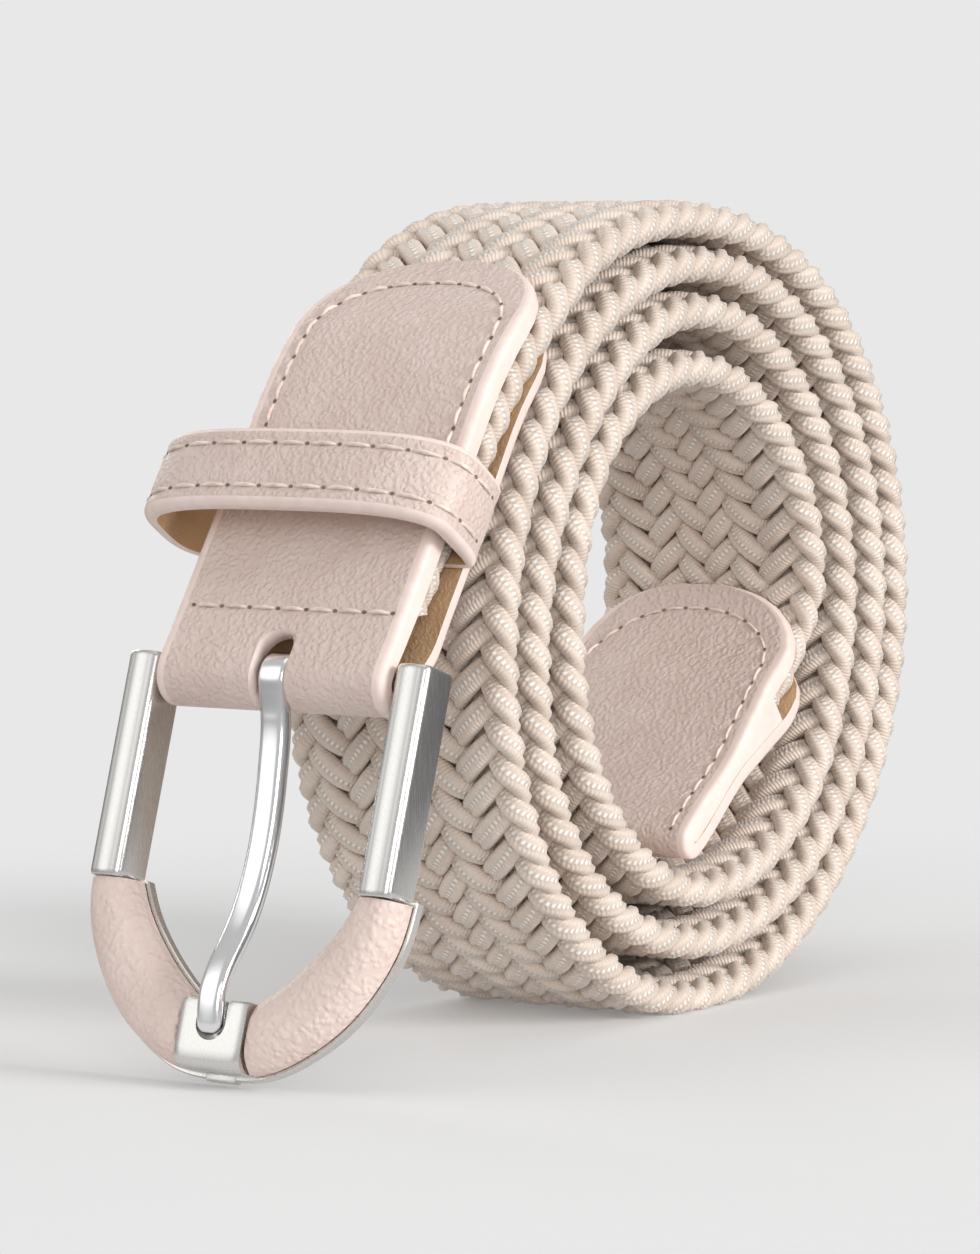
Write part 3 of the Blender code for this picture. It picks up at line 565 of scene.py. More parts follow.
def pressed_cord(ring):
    """World points of a cord's rings, which are given as length, place across and height."""
    s, across, height = ring[..., 0], ring[..., 1], ring[..., 2]
    inside_tip = np.clip((s - WEB_LENGTH + TIP_REACH) / PRESS_RUN, 0.0, 1.0)
    inside_tab = np.clip((KEEPER_END - s) / PRESS_RUN, 0.0, 1.0)
    past_keeper = np.clip((s - KEEPER_END) / PRESS_RUN, 0.0, 1.0)
    share, near_tab = pressed(s), s < 2.0 * TAB_REACH
    held = (1.0 - share) / (1.0 - WEB_PRESSED)
    share = np.where(near_tab, 1.0 - (1.0 - WEB_PRESSED) * held * (1.0 - past_keeper), share)
    lift = height * share - np.where(near_tab, SINK * past_keeper * held, 0.0)
    point, _, normal = on_line(s)
    spots = over(point, normal, lift, across * (1.0 - SQUEEZE * np.maximum(inside_tip, inside_tab)))
    spots[..., 2] = np.maximum(spots[..., 2], 0.0)
    return spots


# %% Lay the cords
ROWS, SAMPLES = 400, 4
rows = np.arange(ROWS * SAMPLES + 1) / SAMPLES
for cord in range(CORDS):
    place = rows + 2.0 * cord
    across = (read_table(across_steps, place) - COLUMNS / 2.0) * COLUMN_PITCH
    height = read_table(height_steps, place) * CORD_LIFT
    centre = np.stack([rows * WEB_LENGTH / ROWS, across, height], axis=1)
    way = directions(centre)
    angle = np.radians(np.interp(place, range(STEPS), turn_steps, period=STEPS))
    out = np.stack([0.0 * angle, np.cos(angle), np.sin(angle)], axis=1)
    side = np.cross(way, out)
    side /= np.linalg.norm(side, axis=1)[:, None]
    out = np.cross(side, way)
    ring = centre[:, None] + side[:, None] * cord_outline[:, :1] + out[:, None] * cord_outline[:, 1:]
    run = run_along(centre)
    piece = skin(f"cord_{cord + 1:02d}", pressed_cord(ring), "root", [cord_cover],
                 uv=(run, around_cord), sharp=180.0)
    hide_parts("webbing")
print("cord length", round(run[-1], 3), "m each,", round(run[-1] * CORDS, 1), "m in all")

# %% [markdown]
# ## Leather strips
# The tab and the tip are the same kind of piece: a strip of leather that is folded in the middle
# and has a round tongue at both ends. A strip is a row of stations, each with a middle point, a
# half width and a thickness. The grain side is finely divided, so that the sewn channel can sink
# into it, while the flesh side has few faces.

# %% Tongues
def tongue_share(from_end, reach):
    """Half width of a round tongue, as a share, at a distance from its end."""
    away = 1.0 - np.clip(from_end / reach, 0.0, 1.0)
    return (1.0 - away ** 2.3) ** (1.0 / 2.3)


def tongue_steps(reach, foot, spacing):
    """Distances back from a tongue's end, close together on its round part."""
    near = [reach * share for share in (0.012, 0.05, 0.12, 0.23, 0.38, 0.56, 0.78, 1.0)]
    return near + list(np.linspace(reach, foot, max(2, int((foot - reach) / spacing) + 1))[1:])


print("share a quarter in", round(float(tongue_share(0.25, 1.0)), 2))

# %% A folded strip of leather
CHANNEL_WIDE = 0.7 * MM


class Strip:
    """A strip's middle line with its outward side, half width and thickness at each length."""

    def __init__(self, stations, count):
        points = np.array([station[0] for station in stations])
        self.line, self.length = curve_through(points, count)
        marks = run_along(points)
        marks *= self.length[-1] / marks[-1]
        widths = np.array([station[1:] for station in stations])
        self.half, self.thick = look_up(widths, marks, self.length).T
        way = directions(self.line)
        self.out = np.stack([way[:, 1], -way[:, 0]], axis=1)

    def surface(self, s, y, lift=0.0):
        """World points on the grain side, raised by lift, with the outward normals."""
        line, out = look_up(self.line, self.length, s), look_up(self.out, self.length, s)
        rise = np.interp(s, self.length, self.thick) / 2.0 + lift
        return over(line, out, rise, y), np.insert(out, 1, 0.0, axis=-1)


def rim_drop(half, y, rim):
    """How far a grain side rounds off near its edges."""
    inset = np.clip(1.0 - (half - np.abs(y)) / rim, 0.0, 1.0)
    return rim * (1.0 - np.sqrt(1.0 - inset ** 2))


def leather_skin(name, top, under, **options):
    """Joins a grain side and a flesh side, with a painted edge between them."""
    sides = [1] * 4 + [0] * (top.shape[1] - 9) + [1] * 5 + [2] * (under.shape[1] - 1) + [1]
    return skin(name, np.concatenate([top, under], axis=1), "root",
                [grain_leather, edge_paint, raw_leather], columns=sides, **options)


def strip_piece(name, strip, seams, edge_round, channel=0.22 * MM):
    """Skins a strip; seams are (s, y) paths along which the grain side is drawn in."""
    close_rows = np.array([0.0, 0.012, 0.03, 0.055, 0.085])
    grid = np.concatenate([1.0 - close_rows, np.linspace(0.885, -0.885, 40), close_rows[::-1] - 1.0])
    half, thick = strip.half[:, None], strip.thick[:, None]
    y = half * grid
    spots = np.concatenate(seams)
    flat = np.stack(np.broadcast_arrays(strip.length[:, None], y), axis=-1)
    near = np.min(np.linalg.norm(flat[:, :, None, :] - spots, axis=-1), axis=-1)
    drop = rim_drop(half, y, np.minimum(edge_round, half * 0.9)) * 0.8
    drop = drop + channel * np.exp(-(near / CHANNEL_WIDE) ** 2)
    line, out = strip.line[:, None], strip.out[:, None]
    top = over(line, out, thick / 2.0 - np.minimum(drop, thick * 0.6), y)
    under = over(line, out, -thick / 2.0, half * np.linspace(-1.0, 1.0, 7))
    return leather_skin(name, top, under, sharp=50.0)


# %% [markdown]
# ### Stitches
# A stitch is a short piece of twisted thread that comes out of one hole and goes into the next. It
# is a small tube that arches over the leather, and its two ends dive below the surface. A small dark
# plug at each needle hole is painted shade: it stands for the shadow in the hole, which shows as a
# dot between two stitches.

# %% Sew along a path
STITCH_RINGS, STITCH_SIDES, STITCH_RISE, STITCH_SUNK = 9, 6, 0.50 * MM, 0.62
HOLE_SIDES, HOLE_RADIUS, HOLE_LONG, HOLE_DEPTHS = 8, 0.24 * MM, 1.3, (-0.3 * MM, 0.06 * MM)
ASIDE = 0.1 * MM


def tube_faces(first, rings, sides):
    """Faces of a closed tube whose points start at number first."""
    faces = []
    for ring in range(first, first + (rings - 1) * sides, sides):
        for j in range(sides):
            a, b = ring + j, ring + (j + 1) % sides
            faces.append((a, b, b + sides, a + sides))
    last = first + (rings - 1) * sides
    return faces + [tuple(range(first + sides - 1, first - 1, -1)), tuple(range(last, last + sides))]


def sew(name, points, normals, pitch, thread_radius=0.26 * MM):
    """Lays stitches of one pitch along a path on a surface, with a dark plug of painted shade for the needle
    hole at each end.
    """
    run = run_along(points)
    count = max(1, int(round(run[-1] / pitch)))
    pitch = run[-1] / count
    vertices, faces = [], []
    share = np.linspace(0.0, 1.0, STITCH_RINGS)
    arch = np.sin(math.pi * share) ** 0.5
    for k in range(count):
        faces += tube_faces(len(vertices), STITCH_RINGS, STITCH_SIDES)
        s = (k + 0.06 + 0.88 * share) * pitch
        normal = look_up(normals, run, s)
        middle = look_up(points, run, s) + normal * ((arch - STITCH_SUNK) * STITCH_RISE)[:, None]
        side = np.cross(directions(middle), normal)
        for p, n, b, fat in zip(middle, normal, side, 0.55 + 0.45 * arch):
            for a in np.arange(STITCH_SIDES) * math.tau / STITCH_SIDES:
                vertices.append(p + (n * math.cos(a) + b * math.sin(a)) * thread_radius * fat)
    threads = len(faces)
    for s in np.arange(count + 1) * pitch:
        faces += tube_faces(len(vertices), len(HOLE_DEPTHS), HOLE_SIDES)
        spot, normal = look_up(points, run, s), look_up(normals, run, s)
        way = look_up(points, run, s + ASIDE) - look_up(points, run, s - ASIDE)
        way /= np.linalg.norm(way)
        side = np.cross(way, normal)
        for lift in HOLE_DEPTHS:
            for a in np.arange(HOLE_SIDES) * math.tau / HOLE_SIDES:
                turn = (way * math.cos(a) * HOLE_LONG + side * math.sin(a)) * HOLE_RADIUS
                vertices.append(spot + normal * lift + turn)
    mesh = bpy.data.meshes.new(name)
    mesh.from_pydata(vertices, [], faces)
    mesh.polygons.foreach_set("material_index", [0] * threads + [1] * (len(faces) - threads))
    mesh.materials.append(thread)
    mesh.materials.append(needle_hole_shade)
    piece = finish_piece(name, mesh, "root", 60.0)
    print(name, count, "stitches of", round(pitch / MM, 2), "mm")


def tongue_seam(reach, inset_end, inset_side, half, foot):
    """A seam (from the end, y) that follows a round tongue inside its edge."""
    side = half - inset_side
    t = np.linspace(0.0, 1.0, 60) ** 1.6
    arc = [(inset_end + reach * share, side * tongue_share(share, 1.0)) for share in t]
    leg = [(value, side) for value in np.linspace(inset_end + reach, foot, 30)[1:]]
    right = arc + leg
    return np.array(right[::-1] + [(s, -y) for s, y in right[1:]])


# %% [markdown]
# ### Buckle tab
# The tab's leather starts with a round tongue on the front of the strap, runs down, folds round
# the buckle's pin and goes up again behind. A slot in the fold lets the prong through. The seam is
# a long arch on the tongue, and a cross seam near the pin holds the fold together.

# %% Tab stations
TAB_HALF, TAB_FRONT, TAB_BACK, TAB_FOLD, TAB_EDGE = (v * MM for v in (17.2, 2.65, 1.85, 2.2, 1.2))
TAB_TONGUE, TAB_BACK_REACH, TAB_BACK_AIR = 13.0 * MM, 50.0 * MM, 1.15 * MM


def leather_leg(end_s, toward, reach, foot, air, thick, sign):
    """Stations of a tongue and its leg, from the tongue's end towards the fold."""
    rows = []
    for away in tongue_steps(reach, foot, 4.3 * MM):
        s = end_s + toward * away
        point, _, normal = on_line(s)
        t = TAB_EDGE + (thick - TAB_EDGE) * min(away / reach, 1.0)
        gap = WEB_THICK / 2.0 * float(pressed(s)) + air + t / 2.0
        rows.append((point + sign * normal * gap, TAB_HALF * tongue_share(away, reach), t))
    return rows


tab_rows = leather_leg(TAB_REACH, -1, TAB_TONGUE, TAB_REACH, CLEAR, TAB_FRONT, 1)
fold_radius = PIN_RADIUS + CLEAR + TAB_FOLD / 2.0
half_web = WEB_THICK * WEB_PRESSED / 2.0
mid_front = half_web + CLEAR + TAB_FRONT / 2.0 - PIN_OFFSET
mid_back = half_web + TAB_BACK_AIR + TAB_BACK / 2.0 + PIN_OFFSET


def toward_fold(share, spread, side, end_reach, end_thick):
    """A station between the webbing's end (share 1) and the pin (share 0)."""
    reach = fold_radius + (end_reach - fold_radius) * spread
    return (PIN + ALONG * END_TO_PIN * share + side * FRONT * reach, TAB_HALF,
            TAB_FOLD + (end_thick - TAB_FOLD) * share)


tab_rows += [toward_fold(share, share, 1, mid_front, TAB_FRONT) for share in (0.7, 0.35)]
for angle in np.linspace(0.0, math.pi, 9):
    spot = PIN + (FRONT * math.cos(angle) - ALONG * math.sin(angle)) * fold_radius
    tab_rows.append((spot, TAB_HALF, TAB_FOLD))
tab_rows += [toward_fold(share, min(share * 1.4, 1.0), -1, mid_back, TAB_BACK) for share in (0.35, 0.7)]
tab_rows += leather_leg(TAB_BACK_REACH, -1, TAB_TONGUE, TAB_BACK_REACH, TAB_BACK_AIR, TAB_BACK, -1)[::-1]
tab = Strip(tab_rows, 300)
print("tab strip", round(tab.length[-1] / MM, 1), "mm long")

# %% Tab leather and seams
THREAD_DEPTH = 0.12 * MM
fold_s = float(tab.length[np.argmin(tab.line @ ALONG)])
arch_seam = tongue_seam(11.0 * MM, 5.0 * MM, 2.9 * MM, TAB_HALF, 40.0 * MM)
cross_seam = np.stack([np.full(60, fold_s - 12.2 * MM), np.linspace(-15.4, 14.8, 60) * MM], axis=1)
back_seam = arch_seam * (-1.0, 1.0) + (tab.length[-1], 0.0)
tab_piece = strip_piece("tab_leather", tab, [arch_seam, cross_seam, back_seam], 0.9 * MM)
for label, seam, pitch in (("tab_arch_stitches", arch_seam, 3.5), ("tab_cross_stitches", cross_seam, 4.6),
                           ("tab_back_stitches", back_seam, 3.5)):
    sew(label, *tab.surface(seam[:, 0], seam[:, 1], -THREAD_DEPTH), pitch * MM)

# %% [markdown]
# The slot is cut with a Boolean, as it would be with a punch. The cutter is a long pill whose top
# is round, so the slot ends in an arch. Once the cut is made, it is applied and the cutter goes.

# %% Punch the slot
SLOT_WIDTH, SLOT_RISE = 5.4 * MM, 4.8 * MM


def round_slot(start, centre, half, count):
    """Outline (a, y) of a slot from start to a round end about centre."""
    arc = [(centre + half * math.sin(t), -half * math.cos(t)) for t in np.linspace(0, math.pi, count)]
    return [(start, half), (start, -half)] + arc


def punch(piece, outline, place, depth):
    """Cuts an outline (a, y) through a piece; place turns (a, y, b) into a world point."""
    rings = [[place(a, y, b) for a, y in outline] for b in depth]
    cutter = skin("slot_punch", rings, "root", [edge_paint], sharp=30.0)
    cut = piece.modifiers.new("slot", "BOOLEAN")
    cut.object, cut.operation, cut.solver = cutter, "DIFFERENCE", "EXACT"
    shaped = bpy.data.meshes.new_from_object(piece.evaluated_get(bpy.context.evaluated_depsgraph_get()))
    piece.modifiers.clear()
    piece.data = shaped
    bpy.data.objects.remove(cutter, do_unlink=True)
    print(piece.name, "after the punch:", len(shaped.polygons), "faces")


def at_pin(a, y, b):
    """World points from the pin: a up the strap, b out of its front."""
    return over(PIN + np.multiply.outer(a, ALONG), FRONT, b, y)


half = SLOT_WIDTH / 2.0
punch(tab_piece, round_slot(-8.0 * MM, SLOT_RISE - half, half, 13), at_pin, (-7.0 * MM, 7.0 * MM))
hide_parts("buckle_tab")

# %% [markdown]
# ### Tip
# The free end of the webbing is covered by a second strip. It lies inside the roll: one leg faces
# the hollow, then the strip folds and comes back on the outside. Past the webbing's end the two
# legs are glued together, and one coat of edge paint covers both cut edges.

# %% Tip stations
TIP_FRONT, TIP_BACK, TIP_LENGTH, TIP_TONGUE = (v * MM for v in (2.3, 2.1, 29.9, 15.0))
TIP_BACK_REACH, TIP_BACK_TONGUE, TIP_CLOSE, TIP_GLUED = (v * MM for v in (11.5, 10.0, 12.0, 0.25))
web_end, end_way, end_out = on_line(WEB_LENGTH)


def tip_air(share):
    """Half the room between the two legs, from the webbing's end (0) to where they meet (1)."""
    return half_web + CLEAR + (TIP_GLUED - half_web - CLEAR) * share


def closing(share, side, thick):
    """A station of a leg that closes on the other one."""
    gap = tip_air(share) + thick / 2.0
    return (web_end + end_way * TIP_CLOSE * share + side * end_out * gap, TAB_HALF, thick)


tip_rows = leather_leg(WEB_LENGTH - TIP_REACH, 1, TIP_TONGUE, TIP_REACH, CLEAR, TIP_FRONT, -1)
tip_rows += [closing(share, -1, TIP_FRONT) for share in (0.35, 0.7, 1.0)]
tip_radius = TIP_GLUED + (TIP_FRONT + TIP_BACK) / 4.0
tip_centre = web_end + end_way * (TIP_LENGTH - tip_radius - TIP_FRONT / 2.0)
for angle in np.linspace(0.0, math.pi, 9):
    spot = tip_centre + (end_way * math.sin(angle) - end_out * math.cos(angle)) * tip_radius
    tip_rows.append((spot, TAB_HALF, TIP_FRONT + (TIP_BACK - TIP_FRONT) * angle / math.pi))
tip_rows += [closing(share, 1, TIP_BACK) for share in (1.0, 0.7, 0.35)]
tip_rows += leather_leg(WEB_LENGTH - TIP_BACK_REACH, 1, TIP_BACK_TONGUE, TIP_BACK_REACH, CLEAR,
                        TIP_BACK, 1)[::-1]
tip = Strip(tip_rows, 240)

# %% Tip leather, its glued core and seams
SEAM_END, SEAM_SIDE = 3.6 * MM, 2.8 * MM
CORE_HALF, CORE_PROUD = 17.12 * MM, 0.15 * MM
tip_seam = tongue_seam(12.5 * MM, SEAM_END, SEAM_SIDE, TAB_HALF, 44.0 * MM)
tip_back_seam = tongue_seam(9.0 * MM, SEAM_END, SEAM_SIDE, TAB_HALF, 40.0 * MM)
tip_back_seam = tip_back_seam * (-1.0, 1.0) + (tip.length[-1], 0.0)
tip_piece = strip_piece("tip_leather", tip, [tip_seam, tip_back_seam], 0.7 * MM, 0.16 * MM)
for label, seam in (("tip_stitches", tip_seam), ("tip_back_stitches", tip_back_seam)):
    sew(label, *tip.surface(seam[:, 0], seam[:, 1], -THREAD_DEPTH), 3.4 * MM, 0.2 * MM)
core_spots = [(web_end + end_way * TIP_CLOSE * share, max(tip_air(share), TIP_GLUED))
              for share in np.linspace(0.08, 1.0, 9)] + [(tip_centre, TIP_GLUED)]
core_rings = []
for spot, gap in core_spots:
    corners = ((1, 1), (-1, 1), (-1, -1), (1, -1))
    core_rings.append([over(spot, end_out, b * (gap + CORE_PROUD), y * CORE_HALF) for y, b in corners])
core = skin("tip_core", core_rings, "root", [edge_paint], sharp=30.0)
for piece in (tip_piece, core):
    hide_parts("tip")

# %% [markdown]
# ### Keeper
# The keeper is a loop that holds the belt's loose end. Its back run is thin and sewn in between
# the webbing and the tab, and the front stands well proud, in a flat arch. The strip's edges are
# turned in, so its rim is soft and round, with one row of stitches along each side.

# %% Keeper loop
KEEPER_WIDTH, KEEPER_THICK, KEEPER_SEWN, KEEPER_AIR = (v * MM for v in (11.3, 2.0, 1.0, 5.2))
KEEPER_SIDE, KEEPER_SHIFT, KEEPER_PLACE = 5.9 * MM, 2.9 * MM, 24.0 * MM
keeper_front = half_web + CLEAR + TAB_FRONT - PIN_OFFSET + KEEPER_AIR + KEEPER_THICK / 2.0
keeper_back = -(half_web + PIN_OFFSET + TAB_BACK_AIR / 2.0)


def keeper_loop(count):
    """Middle line (y, b) of the loop with its thickness."""
    angle = np.arange(count) * math.tau / count
    share, lift = np.abs(np.cos(angle)) ** (2 / 3), np.abs(np.sin(angle)) ** (2 / 3)
    side = np.where(np.cos(angle) > 0.0, 1.0, -1.0)
    edge = side * (WEB_WIDTH / 2.0 + KEEPER_SIDE - KEEPER_THICK / 2.0) + KEEPER_SHIFT
    before = np.sin(angle) >= 0.0
    foot = np.where(before, KEEPER_SHIFT, side * (WEB_WIDTH / 2.0 + CLEAR))
    waist, rise = (keeper_front + keeper_back) / 2.0, (keeper_front - keeper_back) / 2.0
    b = waist + np.where(before, 1.0, -1.0) * rise * lift
    thick = np.where(before, KEEPER_THICK, KEEPER_THICK + (KEEPER_SEWN - KEEPER_THICK) * lift ** 2)
    return np.stack([foot + (edge - foot) * share, b], axis=1), thick


loop, loop_thick = keeper_loop(176)
loop_way = np.roll(loop, -1, axis=0) - np.roll(loop, 1, axis=0)
loop_way /= np.linalg.norm(loop_way, axis=1)[:, None]
loop_out = np.stack([loop_way[:, 1], -loop_way[:, 0]], axis=1)
print("keeper loop", round(run_along(loop)[-1] / MM, 1), "mm long")


def on_loop(up, rise):
    """World points at a place up the strap and a height over the loop's middle line."""
    return at_pin(KEEPER_PLACE + up, loop[:, :1] + loop_out[:, :1] * rise,
                  loop[:, 1:] + loop_out[:, 1:] * rise)


# %% Keeper leather and stitches
SEAM_PLACE, SEAM_DRAWN, RIM_ROUND = 3.1 * MM, 0.20 * MM, 0.62
close_rows = np.array([1.0, 0.985, 0.95, 0.90, 0.83])
up = KEEPER_WIDTH / 2.0 * np.concatenate([close_rows, np.linspace(0.76, -0.76, 24), -close_rows[::-1]])
thick = loop_thick[:, None]
drop = rim_drop(KEEPER_WIDTH / 2.0, up, thick * RIM_ROUND)
channel = np.exp(-((np.abs(up) - SEAM_PLACE) / (0.6 * MM)) ** 2)
drop = drop + SEAM_DRAWN * channel * (thick / KEEPER_THICK)
outer = on_loop(up, thick / 2.0 - drop)
inner = on_loop(KEEPER_WIDTH / 2.0 * np.linspace(-0.97, 0.97, 8), -thick / 2.0)
keeper_piece = leather_skin("keeper_leather", outer, inner, around=True, sharp=55.0)
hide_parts("keeper")
shown = np.r_[160:176, 0:104]
for label, row in (("keeper_upper_stitches", SEAM_PLACE), ("keeper_lower_stitches", -SEAM_PLACE)):
    path = on_loop(row, thick / 2.0 - 0.14 * MM)[shown, 0]
    normal = (on_loop(row, 1.0) - on_loop(row, 0.0))[shown, 0]
    sew(label, path, normal, 5.0 * MM)

# %% [markdown]
# ## The buckle
# The buckle has its own coordinates: t runs down from the top of the bars, y across and d into
# the depth. It leans so that the end of its arch stands on the table. The metal is one casting:
# two bars, the pin between them, an arched plate behind the leather, and a saddle block with a
# notch for the prong's point.

# %% Buckle coordinates
FRAME_LENGTH, BAR_WIDTH, BAR_DEPTH, BAR_LENGTH = 52.0 * MM, 4.8 * MM, 5.8 * MM, 28.2 * MM
BAR_INSIDE = TAB_HALF + 0.7 * MM
ARCH_HALF, ARCH_END = BAR_INSIDE + BAR_WIDTH + 1.0 * MM, FRAME_LENGTH - 0.9 * MM
PIN_DROP, PIN_DEPTH = 2.2 * MM, 2.9 * MM
drop_to_end, depth_to_back = FRAME_LENGTH - PIN_DROP, BAR_DEPTH - PIN_DEPTH
hang = math.hypot(drop_to_end, depth_to_back)
LEAN = math.atan2(depth_to_back, drop_to_end) + math.acos(min(PIN[1] / hang, 1.0))
OUTER = ((0.0, 1.0), (0.229, 0.970), (0.467, 0.873), (0.690, 0.713), (0.865, 0.502), (0.980, 0.266),
         (1.0, 0.0))
INNER = ((0.0, 0.713), (0.147, 0.641), (0.294, 0.536), (0.441, 0.401), (0.562, 0.262), (0.640, 0.135),
         (0.662, 0.0))
DOWN = -np.array([math.sin(LEAN), math.cos(LEAN)])
DEEP = np.array([math.cos(LEAN), -math.sin(LEAN)])


def on_frame(t, y, d):
    """World points of the buckle's coordinates."""
    return over(PIN + np.multiply.outer(t - PIN_DROP, DOWN), DEEP, d - PIN_DEPTH, y)


def arch_side(rows, stop, count, grow=0.0):
    """Points (t, y) of half the arch's outline, from the bar's end to the stop in y."""
    table = [(BAR_LENGTH + (ARCH_END - BAR_LENGTH) * t, ARCH_HALF * y) for t, y in rows]
    curve, _ = curve_through(table + [(table[-2][0], -table[-2][1])], 400)
    kept = curve[curve[:, 1] > stop]
    last = np.interp(stop, curve[::-1, 1], curve[::-1, 0]) if stop > 0.0 else table[-1][0]
    kept = np.concatenate([kept, [[last, stop]]])
    run = run_along(kept)
    path = look_up(kept, run, np.linspace(0.0, run[-1], count))
    if grow:
        slope = directions(path)
        slope[-1] = (0.0, -1.0)
        path = path + grow * np.stack([-slope[:, 1], slope[:, 0]], axis=1)
        path[0, 0], path[-1, 1] = kept[0, 0], stop
    return path


print("buckle leans", round(math.degrees(LEAN), 1), "degrees")

# %% [markdown]
# The arch leathers are shallow domes: low at both edges, crowned across, and drawn down a little
# at their ends, where they meet a bar and the saddle.

# %% Arch leathers
PAD_TOP, PAD_CROWN, PAD_BACK, PAD_TUCK, PAD_GAP = (v * MM for v in (0.25, 2.75, 4.2, 0.55, 0.7))
pad_shares = np.concatenate([[1.0, 0.985, 0.95, 0.90], np.linspace(0.83, 0.17, 14), [0.10, 0.05, 0.015, 0.0]])
bulge = np.abs(2.0 * pad_shares - 1.0) ** 3.0
for name, sign, node_name in (("arch_skin_left", 1.0, "arch_leather_left"),
                              ("arch_skin_right", -1.0, "arch_leather_right")):
    inner_edge, outer_edge = (arch_side(rows, 5.2 * MM, 60) for rows in (INNER, OUTER))
    outer_edge[0, 0] += PAD_GAP
    inner_edge[0, 0] += PAD_GAP
    rings = []
    for k, (a, b) in enumerate(zip(inner_edge, outer_edge)):
        tuck = PAD_TUCK * (math.exp(-k / 1.6) + math.exp(-(59 - k) / 1.6))
        middle = a + (b - a) * pad_shares[:, None]
        depth = PAD_TOP + PAD_CROWN * bulge + tuck * (1.0 - bulge)
        front = on_frame(middle[:, 0], sign * middle[:, 1], depth)
        rings.append(np.concatenate([[on_frame(p[0], sign * p[1], PAD_BACK) for p in (a, b)], front]))
    pad = skin(name, rings, "buckle", [lit_arch_leather], sharp=60.0)
    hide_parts(node_name)

# %% [markdown]
# The bars are nearly flat in front, with softened edges. The pin is a plain rod. The plate follows
# the arch behind the leather and is half a millimetre wider on both sides, so a thin rim shows.

# %% Bars, pin and plate
def rounded(half_wide, half_deep, corners, steps=6):
    """Points of a rectangle with its own radius at each corner, starting at +, +."""
    points = []
    for quarter, (sx, sz, radius) in enumerate(zip((1, -1, -1, 1), (1, 1, -1, -1), corners)):
        for k in range(steps + 1):
            a = math.radians(90.0 * (quarter + k / steps))
            points.append((sx * (half_wide - radius) + radius * math.cos(a),
                           sz * (half_deep - radius) + radius * math.sin(a)))
    return np.array(points)


metal = []


def cast(name, rings, sharp=35.0):
    """One casting of the buckle's frame."""
    metal.append(skin(name, rings, "buckle", [brushed_steel], sharp=sharp))


def cast_bar(name, section, y, d, ends):
    """A straight bar down the buckle; ends gives (t in mm, share of the section)."""
    cast(name, [on_frame(t * MM, y + section[:, 0] * share, d + section[:, 1] * share) for t, share in ends])


FRONT_CORNER, BACK_CORNER, BAR_CROWN = 1.1 * MM, 0.35 * MM, 0.20 * MM
half_wide, half_deep = BAR_WIDTH / 2.0, BAR_DEPTH / 2.0
bar_section = rounded(half_wide, half_deep, (BACK_CORNER, BACK_CORNER, FRONT_CORNER, FRONT_CORNER))
crown = [((half_wide - FRONT_CORNER) * x, -half_deep - BAR_CROWN * (1.0 - x * x))
         for x in np.linspace(-0.8, 0.8, 7)]
bar_section = np.concatenate([bar_section[:21], crown, bar_section[21:]])
bar_ends = ((0.0, 0.90), (0.12, 0.95), (0.35, 0.985), (0.7, 1.0), (27.7, 1.0), (28.2, 0.985), (28.45, 0.93))
for label, sign in (("bar_left", 1.0), ("bar_right", -1.0)):
    cast_bar(label, bar_section, sign * (BAR_INSIDE + half_wide), half_deep, bar_ends)
around = np.linspace(0.0, math.tau, 32, endpoint=False)
pin_rings = [on_frame(PIN_DROP + PIN_RADIUS * np.cos(around), y, PIN_DEPTH + PIN_RADIUS * np.sin(around))
             for y in np.linspace(-BAR_INSIDE - 2.0 * MM, BAR_INSIDE + 2.0 * MM, 5)]
cast("pin", pin_rings)
rim_outer, rim_inner = arch_side(OUTER, 0.0, 60, 0.5 * MM), arch_side(INNER, 0.0, 60, -0.5 * MM)
PLATE_SOFT = 0.15 * MM
plate_rings = []
for sign, order in ((1.0, range(60)), (-1.0, range(58, -1, -1))):
    for k in order:
        a, b = rim_inner[k], rim_outer[k]
        soft = (b - a) / np.linalg.norm(b - a) * PLATE_SOFT
        corners = ((a, 4.50), (a + soft, 4.35), (b - soft, 4.35), (b, 4.50),
                   (b, 5.65), (b - soft, 5.80), (a + soft, 5.80), (a, 5.65))
        plate_rings.append([on_frame(p[0], sign * p[1], d * MM) for p, d in corners])
cast("arch_plate", plate_rings)

# %% [markdown]
# The saddle is a small curved block with a groove in it. Its side outline is bent round the
# arch, and the groove is punched in the same way as the slot in the tab.

# %% Saddle block
SADDLE_HALF, SADDLE_HIGH, NOTCH_HALF = 4.9 * MM, 42.4 * MM, 2.2 * MM
low_curve = arch_side(OUTER, 0.0, 120)[::-1]
saddle_rings = []
for share in np.linspace(-1.0, 1.0, 21):
    y = SADDLE_HALF * share
    high, low = SADDLE_HIGH, np.interp(abs(y), low_curve[:, 1], low_curve[:, 0])
    soft = 0.25 * MM * abs(share) ** 12
    outline = [(high, 5.1), (low, 5.1), (low, 2.2), (low - 0.15 * MM, 1.3), (low - 0.6 * MM, 0.7),
               (low - 1.4 * MM, 0.38), (low - 2.6 * MM, 0.3), (high + 0.8 * MM, 0.3),
               (high + 0.25 * MM, 0.45), (high, 0.8)]
    saddle_rings.append([on_frame(t, y, d * MM + soft * (d < 2.0)) for t, d in outline])
cast("saddle", saddle_rings, 40.0)
saddle = metal[-1]
punch(saddle, round_slot(38.0 * MM, 45.3 * MM, NOTCH_HALF, 15), on_frame, (-3.0 * MM, 2.2 * MM))
saddle.data.set_sharp_from_angle(angle=math.radians(35.0))
nub_section = rounded(2.3 * MM, 0.75 * MM, (0.2 * MM,) * 4, 3)
nub_ends = ((48.0, 1.0), (51.6, 1.0), (51.85, 0.94), (51.95, 0.86))
cast_bar("nub", nub_section, 0.0, 4.95 * MM, nub_ends)
for piece in metal:
    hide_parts("buckle_frame")

